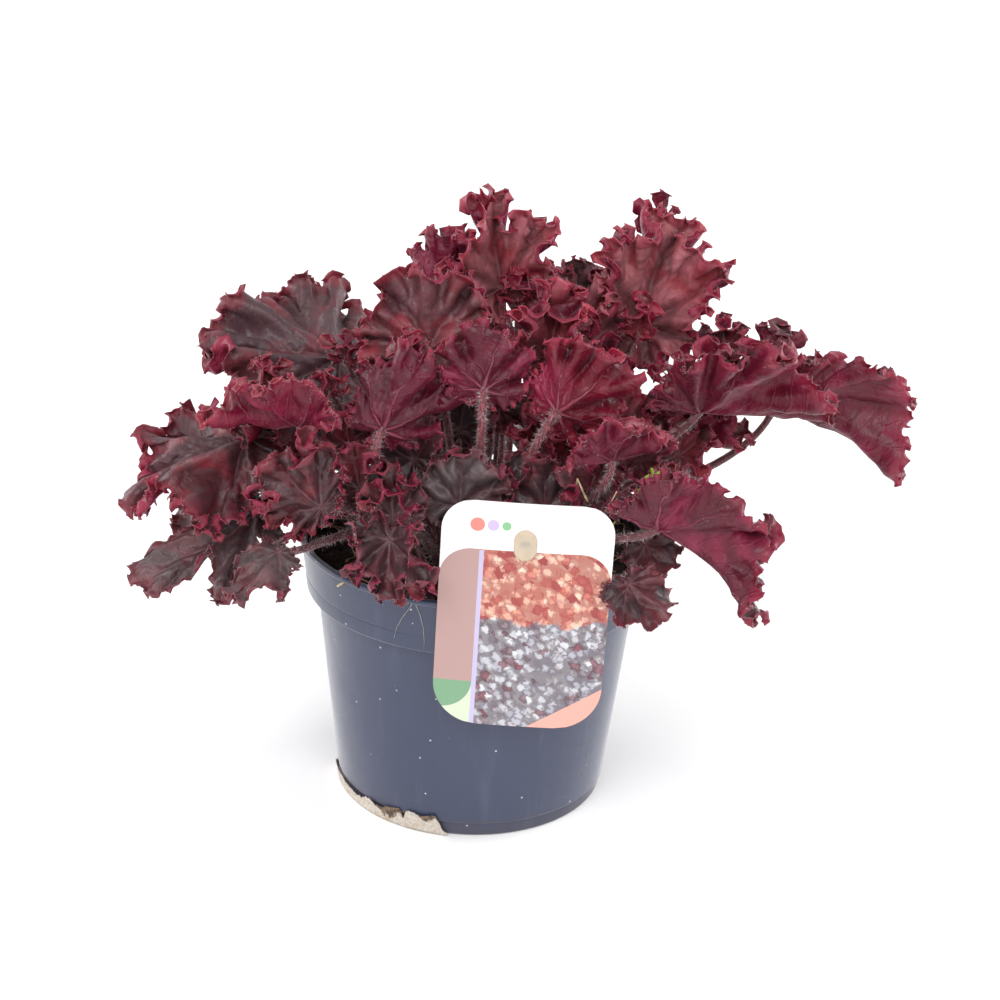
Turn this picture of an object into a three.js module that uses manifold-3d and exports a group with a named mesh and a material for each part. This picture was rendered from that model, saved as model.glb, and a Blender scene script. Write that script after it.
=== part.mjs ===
// A heuchera in its round nursery pot: ruffled wine-red leaves on stalks that each stand in a hole of
// their own in the potting soil, a card label on a peg, and a strip of torn paper round the foot.
// Millimetres, +Z up. The origin is the centre of the pot's underside, and -Y is the label's side.
import * as THREE from "three";
import Module from "manifold-3d";
import { mergeVertices } from "three/addons/utils/BufferGeometryUtils.js";

// ---------- driving dimensions ----------
const GAP = 0.3; // clearance between pieces that touch
const POT = {
  height: 130,
  rim: 85, // outer radius of the bead round the top
  bead: 2.2, // height of that bead
  neck: 83.6, // outer radius of the collar just under the bead
  collarFoot: 81, // outer radius of the collar's lower edge
  collar: 28, // height of the collar
  shoulder: 76, // outer radius of the body just under the collar
  base: 64, // outer radius of the foot
  foot: 7, // height of the foot
  step: 0.8, // how far the body stands out over the foot
  bevel: 1,
  wall: 1.5,
  sides: 28,
};
// The drain holes lie in a ring of the floor that is raised off the ground. from and to are radii.
const DRAIN = { count: 8, radius: 4.5, from: 45, to: 60, rise: 3, sides: 8 };
const SOIL = { level: 120, mound: 3, roughness: 1.5, rings: [0.8, 0.58, 0.36, 0.14] };
// Rings of places for the stalks' roots: [radius, number of places].
const ROOT_RINGS = { heart: [11, 6], inner: [20, 12], outer: [29, 17], skirt: [38, 22] };
const STALK = {
  sides: 5,
  steps: 5,
  topRadius: 1.7,
  rootRadius: 2.4,
  rootDepth: 9, // below the soil's level
  straight: 14, // length of the straight stretch above the root
  splay: 0.25, // outward lean of that stretch
  reachLow: 0.35, // how far the stalk keeps its first direction, as a share of its length
  reachHigh: 0.22, // how far it keeps its last direction
};
const CROWN = { radius: 5.5, depth: 8, height: 11, scars: 6, scarDepth: 0.1, sides: 18 };
// Shares are of the way from the joint to the margin, or of the leaf's size.
const BLADE = {
  thickness: 0.8,
  lobes: 7.2, // to a full turn
  span: 162, // degrees from the middle vein to either side of the notch
  notch: 0.14, // distance of the notch from the joint
  rings: [0.42, 0.76, 1], // where the blade's rings of points lie
  ruffleFrom: 0.45, // where the ruffles begin
  lean: 0.4, // how far the ruffles' crests draw in, against their height
  crease: 0.22, // how far from the middle vein a fold still bends
  pleat: 0.05, // height of the ridges between the lobes
  billow: 0.07, // height of the slow waves
  lift: 0.05, // how far the margin is cupped up
};
const CARD = {
  width: 75,
  height: 108,
  topCorner: 14,
  footCorner: 20,
  thickness: 0.8,
  bow: 420, // radius of its bow about the vertical
  x: 21.5, // its middle
  z: 126,
  standOff: 0.9, // from the pot's rim
  turn: -1.5, // degrees, in its own plane
};
const PEG = {
  width: 7,
  thickness: 2,
  headWidth: 10,
  headHeight: 14,
  headZ: 162,
  neckWidth: 5,
  neckHeight: 3,
  neckDepth: 4,
  tip: 96, // height of the stake's point, in the soil
  tipWidth: 2,
  taper: 10,
  lean: 16, // degrees
};
// from and to are the degrees round the pot that the torn paper covers.
const STRIP = { from: 178, to: 262, height: 5, extra: 6, edge: 1.2, rag: 1.4, thickness: 0.8, columns: 22 };

const rad = THREE.MathUtils.degToRad;
const lerp = THREE.MathUtils.lerp;
const TURN = 2 * Math.PI;
const smooth = (v) => THREE.MathUtils.smoothstep(v, 0, 1);

// ---------- the planting plan ----------
// joint: where the stalk meets the blade. aim: which way the middle vein sets out. face: which way
// the upper side looks. size: joint to tip. back: how much shorter the blade is behind the joint.
// arch: how far the tip bends down. fold: how far the two sides bend down from the middle vein
// (negative: up). Both are in degrees. cut: depth of the clefts between lobes. frill: height of the
// ruffles. waves: their number. mood: what makes each leaf's unevenness its own. root: the ring and
// the place on it where the stalk stands. Where given, narrow is how much narrower than round the
// blade is, and sway is a push that bends the stalk aside.
const LEAVES = {
  top: { joint: [7, 14, 245], aim: [-3, 2, 9], face: [2, -9, 3], size: 48, back: 0.3,
    arch: -15, fold: -52, cut: 0.26, frill: 2.4, waves: 14, mood: 0.4, root: ["heart", 1] },
  topLeft: { joint: [-20, 6, 241], aim: [0, -2, 9], face: [0, 9, 2], size: 35, back: 0.6,
    arch: -20, fold: -50, cut: 0.1, frill: 2, waves: 10, mood: 2.2, root: ["heart", 3] },
  brow: { joint: [-24, -33, 229], aim: [-5, 3, 9], face: [-1, -9, 4], size: 40, back: 0.5,
    arch: 15, fold: 8, cut: 0.1, frill: 1.8, waves: 14, mood: 1.3, root: ["heart", 4] },
  leftHigh: { joint: [-67, 2, 212], aim: [-9, -1, 3], face: [-1, -4, 9], size: 63, back: 0.1,
    arch: 25, fold: 15, cut: 0.12, frill: 2.4, waves: 16, mood: 2.1, root: ["inner", 6] },
  leftFold: { joint: [-78, -70, 206], aim: [-9, -1, 1], face: [0, 4, 9], size: 41, back: 0.6,
    arch: 10, fold: -36, cut: 0.12, frill: 2, waves: 14, mood: 0.9, root: ["inner", 7] },
  farLeft: { joint: [-104, -40, 186], aim: [-9, -4, 0], face: [-1, -2, 9], size: 64, back: 0.5,
    arch: 52, fold: 18, cut: 0.18, frill: 2.4, waves: 16, mood: 2.9, root: ["outer", 9] },
  oakLeft: { joint: [-99, -54, 156], aim: [-9, -4, -4], face: [0, -2, 9], size: 66, back: 0.8,
    arch: 25, fold: 5, cut: 0.5, frill: 1.2, waves: 14, mood: 3.7, root: ["skirt", 12], narrow: 0.35 },
  oakLow: { joint: [-84, -95, 157], aim: [-7, -7, -4], face: [-3, -6, 9], size: 30, back: 0.8,
    arch: 25, fold: 20, cut: 0.36, frill: 1.2, waves: 10, mood: 0.2, root: ["skirt", 13], narrow: 0.25 },
  apron: { joint: [-67, -84, 174], aim: [-9, -3, 8], face: [-2, -9, 4], size: 35, back: 0.8,
    arch: 20, fold: 15, cut: 0.28, frill: 2, waves: 12, mood: 5.1, root: ["skirt", 14] },
  bib: { joint: [-37, -87, 161], aim: [0, -5, -8], face: [-1, -9, 2], size: 28, back: 0.5,
    arch: 15, fold: -35, cut: 0.25, frill: 2, waves: 10, mood: 4.4, root: ["skirt", 15] },
  veil: { joint: [-36, -76, 167], aim: [-2, 1, 9], face: [0, -9, 3], size: 23, back: 0.6,
    arch: 20, fold: 10, cut: 0.16, frill: 1.6, waves: 10, mood: 0.6, root: ["outer", 11] },
  funnel: { joint: [-42, -62, 202], aim: [3, 0, 9], face: [2, 9, 0], size: 42, back: 0.85,
    arch: -10, fold: -40, cut: 0.12, frill: 2, waves: 10, mood: 1.9, root: ["inner", 8], sway: [-5, -6, 0] },
  lantern: { joint: [1, -62, 222], aim: [1, 3, 9], face: [0, 9, 2], size: 31, back: 0.8,
    arch: 5, fold: -15, cut: 0.12, frill: 1.8, waves: 10, mood: 3.3, root: ["inner", 9] },
  heart: { joint: [33, -61, 213], aim: [9, 1, 6], face: [-2, 9, -2], size: 38, back: 0.8,
    arch: 10, fold: -25, cut: 0.12, frill: 2, waves: 12, mood: 0.7, root: ["inner", 10] },
  fringe: { joint: [30, -28, 226], aim: [0, 1, 9], face: [0, -9, 3], size: 34, back: 0.5,
    arch: 10, fold: -50, cut: 0.12, frill: 2.6, waves: 12, mood: 2.6, root: ["heart", 5] },
  crest: { joint: [39, 20, 224], aim: [0, 3, 9], face: [1, -9, 3], size: 32, back: 0.5,
    arch: 10, fold: -15, cut: 0.12, frill: 1.8, waves: 10, mood: 5.4, root: ["heart", 0] },
  rightHigh: { joint: [72, 15, 230], aim: [2, 3, 9], face: [1, -9, 4], size: 55, back: 0.5,
    arch: -5, fold: -42, cut: 0.2, frill: 2.4, waves: 16, mood: 4.9, root: ["inner", 0] },
  rightWing: { joint: [96, -50, 212], aim: [9, -1, 1], face: [0, 4, 9], size: 58, back: 0.6,
    arch: 8, fold: -36, cut: 0.14, frill: 2.4, waves: 16, mood: 1.1, root: ["outer", 16] },
  farRight: { joint: [136, 4, 197], aim: [9, -1, -1], face: [0, 3, 9], size: 76, back: 0.8,
    arch: 42, fold: -50, cut: 0.14, frill: 2.4, waves: 16, mood: 5.6, root: ["outer", 0],
    narrow: 0.35, sway: [8, -4, -18] },
  slim: { joint: [88, -16, 187], aim: [9, -2, 1], face: [0, 1, 9], size: 34, back: 0.6,
    arch: 15, fold: -58, cut: 0.14, frill: 1.6, waves: 10, mood: 2.8, root: ["skirt", 21] },
  rightLow: { joint: [78, -89, 172], aim: [9, -2, -2], face: [0, 5, 9], size: 60, back: 0.6,
    arch: 52, fold: -46, cut: 0.18, frill: 2, waves: 16, mood: 3.0, root: ["skirt", 19], narrow: 0.2 },
  tuck: { joint: [57, -76, 198], aim: [8, -2, 4], face: [-2, 5, 8], size: 28, back: 0.4,
    arch: 10, fold: -30, cut: 0.14, frill: 1.6, waves: 10, mood: 2.2, root: ["outer", 15], sway: [8, 0, 0] },
  nook: { joint: [58, -34, 192], aim: [8, 2, 8], face: [-4, -6, 5], size: 26, back: 0.6,
    arch: 20, fold: -20, cut: 0.14, frill: 1.6, waves: 10, mood: 4.0, root: ["inner", 11] },
  ember: { joint: [30, -62, 167], aim: [-1, -1, 9], face: [0, -9, 2], size: 26, back: 0.6,
    arch: 20, fold: 20, cut: 0.14, frill: 1.6, waves: 10, mood: 0.1, root: ["outer", 14] },
  slate: { joint: [-8, -67, 170], aim: [1, 0, 9], face: [0, -9, 3], size: 27, back: 0.5,
    arch: 20, fold: 20, cut: 0.14, frill: 1.4, waves: 10, mood: 1.2, root: ["outer", 13] },
  pocket: { joint: [67, -84, 143], aim: [6, -6, -6], face: [4, -8, 5], size: 24, back: 0.8,
    arch: 10, fold: 5, cut: 0.14, frill: 0.7, waves: 10, mood: 4.2, root: ["skirt", 18] },
  nib: { joint: [74, -66, 154], aim: [7, -5, -5], face: [3, -8, 5], size: 18, back: 0.6,
    arch: 10, fold: 10, cut: 0.14, frill: 0.7, waves: 8, mood: 4.3, root: ["skirt", 20] },
  midLeft: { joint: [-55, 30, 186], aim: [-6, 4, 3], face: [-1, -5, 8], size: 36, back: 0.4,
    arch: 30, fold: 15, cut: 0.16, frill: 1.8, waves: 8, mood: 3.5, root: ["outer", 8] },
  midCentre: { joint: [-12, 22, 172], aim: [0, -1, 9], face: [0, -8, 5], size: 26, back: 0.4,
    arch: 25, fold: 15, cut: 0.16, frill: 1.8, waves: 8, mood: 1.0, root: ["outer", 5] },
  midBack: { joint: [-10, 59, 208], aim: [-2, 7, 3], face: [0, -4, 9], size: 42, back: 0.6,
    arch: 35, fold: 20, cut: 0.16, frill: 1.8, waves: 8, mood: 4.1, root: ["outer", 3] },
  backTop: { joint: [44, 44, 214], aim: [2, 6, 6], face: [-1, -6, 7], size: 44, back: 0.4,
    arch: 30, fold: 20, cut: 0.16, frill: 2, waves: 8, mood: 5.2, root: ["inner", 2] },
  backRight: { joint: [54, 62, 170], aim: [5, 8, 0], face: [0, -1, 9], size: 46, back: 0.4,
    arch: 40, fold: 25, cut: 0.16, frill: 2, waves: 8, mood: 3.9, root: ["outer", 2] },
  backMid: { joint: [12, 82, 190], aim: [0, 9, 1], face: [0, -1, 9], size: 52, back: 0.4,
    arch: 45, fold: 25, cut: 0.18, frill: 2, waves: 8, mood: 2.7, root: ["inner", 3] },
  backLeft: { joint: [-38, 70, 176], aim: [-4, 8, 0], face: [0, -1, 9], size: 48, back: 0.4,
    arch: 45, fold: 25, cut: 0.16, frill: 2, waves: 8, mood: 0.8, root: ["inner", 4] },
  leftBack: { joint: [-88, 28, 164], aim: [-9, 2, 0], face: [0, -1, 9], size: 48, back: 0.4,
    arch: 40, fold: 20, cut: 0.2, frill: 2, waves: 8, mood: 4.6, root: ["inner", 5] },
  lowBackLeft: { joint: [-60, 82, 143], aim: [-5, 8, -1], face: [-2, 2, 9], size: 48, back: 0.3,
    arch: 30, fold: 20, cut: 0.3, frill: 1.6, waves: 8, mood: 1.7, root: ["outer", 6] },
  lowBack: { joint: [14, 92, 143], aim: [1, 9, 0], face: [0, 3, 9], size: 50, back: 0.3,
    arch: 30, fold: 20, cut: 0.3, frill: 1.6, waves: 8, mood: 5.9, root: ["outer", 4] },
  lowBackRight: { joint: [78, 65, 144], aim: [7, 7, -1], face: [2, 2, 9], size: 44, back: 0.3,
    arch: 30, fold: 20, cut: 0.3, frill: 1.6, waves: 8, mood: 2.4, root: ["skirt", 2] },
};

// ---------- one leaf ----------
// A factor about 1 that varies round the blade, in each leaf's own way.
function unevenness(leaf, phi, slow, quick) {
  return 1 + slow * Math.sin(2 * phi + 3 * leaf.mood) + quick * Math.sin(5 * phi + leaf.mood);
}

// Distance from the joint to the margin in the direction phi, where 0 is the middle vein.
function outline(leaf, phi) {
  const reach = 1 - (leaf.back * (1 - Math.cos(phi))) / 2;
  const width = 1 - (leaf.narrow ?? 0) * Math.sin(phi) ** 2;
  const cleft = ((1 - Math.cos(BLADE.lobes * phi)) / 2) ** 1.5;
  return leaf.size * reach * width * unevenness(leaf, phi, 0.05, 0.04) * (1 - leaf.cut * cleft);
}

// Bends a strip that runs along u, with height w over it, down by the angle `bend` for each `size` of u.
function arched(u, w, bend, size) {
  if (Math.abs(bend) < 0.5) return [u, w];
  const curvature = rad(bend) / size;
  const angle = curvature * u;
  return [(1 / curvature + w) * Math.sin(angle), (1 / curvature + w) * Math.cos(angle) - 1 / curvature];
}

// Bends the two sides of the middle vein down by `bend`, mostly close to the vein, as a fold does.
function folded(v, w, bend, size) {
  const angle = rad(bend) * (1 - Math.exp(-Math.abs(v) / (BLADE.crease * size))) * Math.sign(v);
  return [v * Math.cos(angle) + w * Math.sin(angle), w * Math.cos(angle) - v * Math.sin(angle)];
}

// A point of the blade's middle surface in the leaf's own frame: x along the middle vein, z off the
// upper side. share runs from 0 at the stalk to 1 at the margin, and notched points lie in the notch
// behind the joint.
function bladePoint(leaf, phi, share, notched) {
  const margin = notched ? leaf.size * BLADE.notch : outline(leaf, phi);
  const near = margin / leaf.size;
  const along = (phi / rad(BLADE.span) + 1) / 2;
  const wave = notched ? 0 : Math.cos(TURN * leaf.waves * along);
  const growth = smooth((share - BLADE.ruffleFrom) / (1 - BLADE.ruffleFrom));
  const ruffle = leaf.frill * unevenness(leaf, phi, 0.25, 0.2) * near * growth;
  const away = STALK.topRadius + (margin - STALK.topRadius) * share - BLADE.lean * ruffle * wave;
  const pleat = -BLADE.pleat * near * Math.cos(BLADE.lobes * phi) * share;
  const billow = BLADE.billow * near * Math.sin(3 * phi + 2 * leaf.mood) * share * share;
  const lift = BLADE.lift * near * share * share;
  const height = leaf.size * (pleat + billow + lift) + ruffle * wave;
  const [y, low] = folded(away * Math.sin(phi), height, leaf.fold, leaf.size);
  const [x, z] = arched(away * Math.cos(phi), low, leaf.arch, leaf.size);
  return new THREE.Vector3(x, y, z);
}

// The leaf's own axes: x along the aim, z as near the face as it can be.
function leafFrame(leaf) {
  const x = new THREE.Vector3(...leaf.aim).normalize();
  const face = new THREE.Vector3(...leaf.face);
  const z = face.addScaledVector(x, -face.dot(x)).normalize();
  return new THREE.Matrix4().makeBasis(x, z.clone().cross(x), z).setPosition(...leaf.joint);
}

// The directions of a ring's points: evenly over the blade's span, and one more in the notch.
function bladeAngles(count) {
  const span = rad(BLADE.span);
  const spread = Array.from({ length: count + 1 }, (_, k) => -span + (2 * span * k) / count);
  return [...spread, Math.PI];
}

const evenAngles = (count) => Array.from({ length: count }, (_, k) => -Math.PI + (TURN * (k + 0.5)) / count);

// Triangles between two closed rings, each [first vertex, rising angles], taking whichever next side
// has its middle first.
function stitch([innerFirst, innerAngles], [outerFirst, outerAngles]) {
  const faces = [];
  const at = (angles, k) => angles[k % angles.length] + TURN * Math.floor(k / angles.length);
  const middle = (angles, k) => (k < angles.length ? (at(angles, k) + at(angles, k + 1)) / 2 : Infinity);
  let i = 0;
  let o = 0;
  while (i < innerAngles.length || o < outerAngles.length) {
    const a = innerFirst + (i % innerAngles.length);
    const b = outerFirst + (o % outerAngles.length);
    if (middle(outerAngles, o) <= middle(innerAngles, i) + 1e-9) {
      faces.push([a, b, outerFirst + ((o + 1) % outerAngles.length)]);
      o += 1;
    } else {
      faces.push([a, b, innerFirst + ((i + 1) % innerAngles.length)]);
      i += 1;
    }
  }
  return faces;
}

// Vertex normals, each as long as keeps the sheet between its two offset faces one unit thick.
function mitredNormals(points, faces) {
  const triangle = new THREE.Triangle();
  const faceNormals = faces.map(([a, b, c]) => {
    triangle.set(points[a], points[b], points[c]);
    return triangle.getNormal(new THREE.Vector3());
  });
  const normals = points.map(() => new THREE.Vector3());
  faces.forEach((corners, f) => corners.forEach((v) => normals[v].add(faceNormals[f])));
  normals.forEach((n) => n.normalize());
  const tilt = points.map(() => ({ sum: 0, count: 0 }));
  faces.forEach((corners, f) => corners.forEach((v) => {
    tilt[v].sum += normals[v].dot(faceNormals[f]);
    tilt[v].count += 1;
  }));
  const steepest = 0.6;
  return normals.map((n, v) => n.multiplyScalar(1 / Math.max(tilt[v].sum / tilt[v].count, steepest)));
}

// The stalk's lower end, and the direction in which it rises from there.
function rootOf(leaf) {
  const [ring, place] = leaf.root;
  const [radius, places] = ROOT_RINGS[ring];
  const angle = (TURN * place) / places;
  const out = new THREE.Vector3(Math.cos(angle), Math.sin(angle), 0);
  const foot = out.clone().multiplyScalar(radius).setZ(SOIL.level - STALK.rootDepth);
  const rise = new THREE.Vector3(out.x * STALK.splay, out.y * STALK.splay, 1).normalize();
  return { foot, rise };
}

// The stalk's middle line from the end of its straight stretch to the joint, which it meets from
// below and behind.
function stalkLine(leaf, frame) {
  const joint = new THREE.Vector3(...leaf.joint);
  const { foot, rise } = rootOf(leaf);
  const neck = foot.clone().addScaledVector(rise, STALK.straight);
  const aim = new THREE.Vector3().setFromMatrixColumn(frame, 0);
  const face = new THREE.Vector3().setFromMatrixColumn(frame, 2);
  const arrive = face.multiplyScalar(0.8).addScaledVector(aim, 0.6).normalize();
  const length = joint.distanceTo(neck);
  const low = neck.clone().addScaledVector(rise, STALK.reachLow * length);
  const high = joint.clone().addScaledVector(arrive, -STALK.reachHigh * length);
  const sway = new THREE.Vector3(...(leaf.sway ?? [0, 0, 0]));
  return new THREE.CubicBezierCurve3(neck, low.add(sway), high.add(sway), joint);
}

// One closed mesh: the upper face, the lower face, the margin, and the stalk that grows out of the
// lower face's inner ring.
function leafGeometry(leaf) {
  const frame = leafFrame(leaf);
  const rings = [];
  const middle = [];
  const addRing = (share, angles, isBlade) => {
    rings.push([middle.length, angles]);
    angles.forEach((a, k) => middle.push(bladePoint(leaf, a, share, isBlade && k === angles.length - 1)));
  };
  addRing(0, evenAngles(STALK.sides), false);
  BLADE.rings.forEach((share, k) => addRing(share, bladeAngles(k === 0 ? leaf.waves : 2 * leaf.waves), true));
  const sheet = rings.slice(1).flatMap((ring, k) => stitch(rings[k], ring));
  const normals = mitredNormals(middle, sheet);
  const half = BLADE.thickness / 2;
  const count = middle.length;
  const points = [
    ...middle.map((p, v) => p.clone().addScaledVector(normals[v], half)),
    ...middle.map((p, v) => p.clone().addScaledVector(normals[v], -half)),
  ].map((p) => p.applyMatrix4(frame));
  const faces = [...sheet, ...sheet.map(([a, b, c]) => [a + count, c + count, b + count])];
  for (let k = 1; k < STALK.sides - 1; k += 1) faces.push([0, k, k + 1]);
  const [marginFirst, marginAngles] = rings.at(-1);
  marginAngles.forEach((_, k) => {
    const a = marginFirst + k;
    const b = marginFirst + ((k + 1) % marginAngles.length);
    faces.push([a, a + count, b + count], [a, b + count, b]);
  });
  addStalk(leaf, frame, points, faces, count);
  return meshGeometry(points, faces);
}

// Carries the lower face's inner ring, which starts at vertex `first`, down the stalk to a closed root.
function addStalk(leaf, frame, points, faces, first) {
  const line = stalkLine(leaf, frame);
  const { foot, rise } = rootOf(leaf);
  const stations = Array.from({ length: STALK.steps }, (_, k) => 1 - (k + 1) / STALK.steps)
    .map((t) => ({ centre: line.getPoint(t), next: line.getTangent(t) }));
  stations.push({ centre: foot, next: rise });
  const angles = evenAngles(STALK.sides);
  const across = new THREE.Vector3().setFromMatrixColumn(frame, 0);
  const side = new THREE.Vector3().setFromMatrixColumn(frame, 1);
  let along = new THREE.Vector3().setFromMatrixColumn(frame, 2);
  let above = first;
  stations.forEach(({ centre, next }, step) => {
    const swing = new THREE.Quaternion().setFromUnitVectors(along, next);
    across.applyQuaternion(swing);
    side.applyQuaternion(swing);
    along = next;
    const radius = lerp(STALK.topRadius, STALK.rootRadius, Math.min((step + 1) / STALK.steps, 1));
    const here = points.length;
    angles.forEach((a) => points.push(centre.clone()
      .addScaledVector(across, radius * Math.cos(a)).addScaledVector(side, radius * Math.sin(a))));
    angles.forEach((_, k) => {
      const n = (k + 1) % angles.length;
      faces.push([above + k, here + k, here + n], [above + k, here + n, above + n]);
    });
    above = here;
  });
  for (let k = 1; k < angles.length - 1; k += 1) faces.push([above, above + k + 1, above + k]);
}

function meshGeometry(points, faces) {
  const geometry = new THREE.BufferGeometry();
  geometry.setAttribute("position", new THREE.Float32BufferAttribute(points.flatMap((p) => p.toArray()), 3));
  geometry.setIndex(faces.flat());
  return geometry;
}

// ---------- joins and cuts ----------
const wasm = await Module();
wasm.setup();

function toSolid(geometry) {
  const bare = new THREE.BufferGeometry().setAttribute("position", geometry.getAttribute("position"));
  if (geometry.index) bare.setIndex(geometry.index);
  const merged = mergeVertices(bare, 1e-3);
  const triVerts = new Uint32Array(merged.index.array);
  const vertProperties = merged.getAttribute("position").array;
  return new wasm.Manifold(new wasm.Mesh({ numProp: 3, vertProperties, triVerts }));
}

function toGeometry(solid) {
  const { vertProperties, triVerts } = solid.getMesh();
  const geometry = new THREE.BufferGeometry();
  geometry.setAttribute("position", new THREE.Float32BufferAttribute(vertProperties, 3));
  geometry.setIndex(Array.from(triVerts));
  return geometry;
}

// A ring of revolution about Z, from [radius, height] pairs.
function lathe(profile, sides) {
  const points = profile.map(([r, z]) => new THREE.Vector2(r, z));
  return new THREE.LatheGeometry(points, sides).rotateX(Math.PI / 2);
}

// ---------- the pot ----------
const COLLAR_Z = POT.height - POT.collar;

// Outer radius of the pot's body between the foot and the collar.
const bodyRadius = (z) => lerp(POT.base + POT.step, POT.shoulder, z / COLLAR_Z);

// The pot's inner face from the middle of the floor to the top of the wall, drawn in by `room`.
function innerFace(room) {
  const inset = POT.wall + room;
  const corner = POT.foot + 2;
  return [
    [0, inset], [DRAIN.from - 3 - 2 * room, inset], [DRAIN.from - 2 - 2 * room, DRAIN.rise + inset],
    [DRAIN.to + POT.bevel - room, DRAIN.rise + inset], [bodyRadius(corner) - inset - room, corner + room],
    [POT.shoulder - inset - room, COLLAR_Z + POT.bevel + 1.5 * room],
    [POT.collarFoot - inset, COLLAR_Z + POT.bevel + POT.wall + 2 * room],
    [POT.neck - inset, POT.height],
  ];
}

function potGeometry() {
  const { rim, neck, collarFoot, shoulder, base, foot, step, bevel, height, bead } = POT;
  const outside = [
    [0, 0], [DRAIN.from - bevel, 0], [DRAIN.from, DRAIN.rise], [DRAIN.to, DRAIN.rise], [DRAIN.to + bevel, 0],
    [base - bevel, 0], [base, bevel], [base, foot], [bodyRadius(foot + step), foot + step],
    [shoulder, COLLAR_Z], [collarFoot, COLLAR_Z + bevel], [neck, height - bead - step],
    [rim, height - bead], [rim, height - 0.6], [rim - 0.6, height],
  ];
  let pot = toSolid(lathe([...outside, ...innerFace(0).reverse()], POT.sides));
  const middle = (DRAIN.from + DRAIN.to) / 2;
  for (let k = 0; k < DRAIN.count; k += 1) {
    const angle = (TURN * k) / DRAIN.count;
    const hole = new THREE.CylinderGeometry(DRAIN.radius, DRAIN.radius, 4 * DRAIN.rise, DRAIN.sides);
    hole.rotateX(Math.PI / 2).translate(middle * Math.cos(angle), middle * Math.sin(angle), DRAIN.rise);
    pot = pot.subtract(toSolid(hole));
  }
  return toGeometry(pot);
}

// ---------- the soil ----------
// The lie of the soil's top: a low mound with clods.
function soilLevel(x, y) {
  const distance = Math.hypot(x, y) / POT.neck;
  const clods = Math.sin(0.21 * x + 1.3) * Math.cos(0.17 * y - 0.6) + 0.6 * Math.sin(0.39 * x - 0.31 * y + 2);
  return SOIL.level + SOIL.mound * (1 - distance * distance) + SOIL.roughness * clods;
}

// The soil fills the pot, and has as many sides, so that the clearance is the same all round.
function soilGeometry() {
  const side = innerFace(GAP).slice(0, -1);
  const share = (SOIL.level - COLLAR_Z) / POT.collar;
  const edge = lerp(POT.collarFoot, POT.neck, share) - POT.wall - 2 * GAP;
  const top = [1, ...SOIL.rings, 0].map((part) => [edge * part, SOIL.level]);
  const geometry = lathe([...side, ...top], POT.sides);
  const position = geometry.getAttribute("position");
  for (let v = 0; v < position.count; v += 1) {
    const [x, y, z] = [position.getX(v), position.getY(v), position.getZ(v)];
    if (z > SOIL.level - 0.01) position.setZ(v, soilLevel(x, y));
  }
  let soil = toSolid(geometry);
  for (const leaf of Object.values(LEAVES)) soil = soil.subtract(stalkHole(leaf));
  soil = soil.subtract(toSolid(crownGeometry(GAP)));
  return toGeometry(soil.subtract(toSolid(pegStake(GAP))));
}

// A hole with as many sides as the stalk, that follows its foot and clears it all round.
function stalkHole(leaf) {
  const { foot, rise } = rootOf(leaf);
  const radius = (STALK.rootRadius + GAP + 0.1) / Math.cos(Math.PI / STALK.sides);
  const depth = STALK.rootDepth + 12;
  const hole = new THREE.CylinderGeometry(radius, radius, depth, STALK.sides).rotateX(Math.PI / 2);
  hole.applyQuaternion(new THREE.Quaternion().setFromUnitVectors(new THREE.Vector3(0, 0, 1), rise));
  const middle = foot.clone().addScaledVector(rise, depth / 2 - GAP);
  return toSolid(hole.translate(middle.x, middle.y, middle.z));
}

// ---------- the crown ----------
// The woody stock that the stalks grow round, ridged with the scars of old stalks. `room` widens it.
function crownGeometry(room) {
  const top = soilLevel(0, 0) + CROWN.height;
  const low = SOIL.level - CROWN.depth - room;
  const r = CROWN.radius + 1.5 * room;
  const profile = [
    [0, low], [0.7 * r, low], [r, low + 3], [r, lerp(low, top, 0.6)],
    [0.8 * r, lerp(low, top, 0.85)], [0.4 * r, top - 0.5], [0, top],
  ];
  const geometry = lathe(profile, CROWN.sides);
  const position = geometry.getAttribute("position");
  for (let v = 0; v < position.count; v += 1) {
    const [x, y] = [position.getX(v), position.getY(v)];
    const scar = 1 + CROWN.scarDepth * Math.cos(CROWN.scars * Math.atan2(y, x) + 0.05 * position.getZ(v));
    position.setXY(v, x * scar, y * scar);
  }
  return geometry;
}

// ---------- the label ----------
const CARD_BACK = -(POT.rim + CARD.standOff); // y of the card's back, at its middle

// A flat plate that faces -Y: an outline of [x, z], from y to y + depth.
function plate(shape, y, depth, curveSegments) {
  const geometry = new THREE.ExtrudeGeometry(shape, { depth, bevelEnabled: false, curveSegments });
  return geometry.rotateX(Math.PI / 2).translate(0, y + depth, 0);
}

function roundedOutline(width, height, topCorner, footCorner) {
  const [x, z] = [width / 2, height / 2];
  const shape = new THREE.Shape();
  shape.moveTo(-x + footCorner, -z);
  shape.lineTo(x - footCorner, -z);
  shape.absarc(x - footCorner, -z + footCorner, footCorner, -Math.PI / 2, 0);
  shape.absarc(x - topCorner, z - topCorner, topCorner, 0, Math.PI / 2);
  shape.absarc(-x + topCorner, z - topCorner, topCorner, Math.PI / 2, Math.PI);
  shape.absarc(-x + footCorner, -z + footCorner, footCorner, Math.PI, 1.5 * Math.PI);
  return shape;
}

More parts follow.
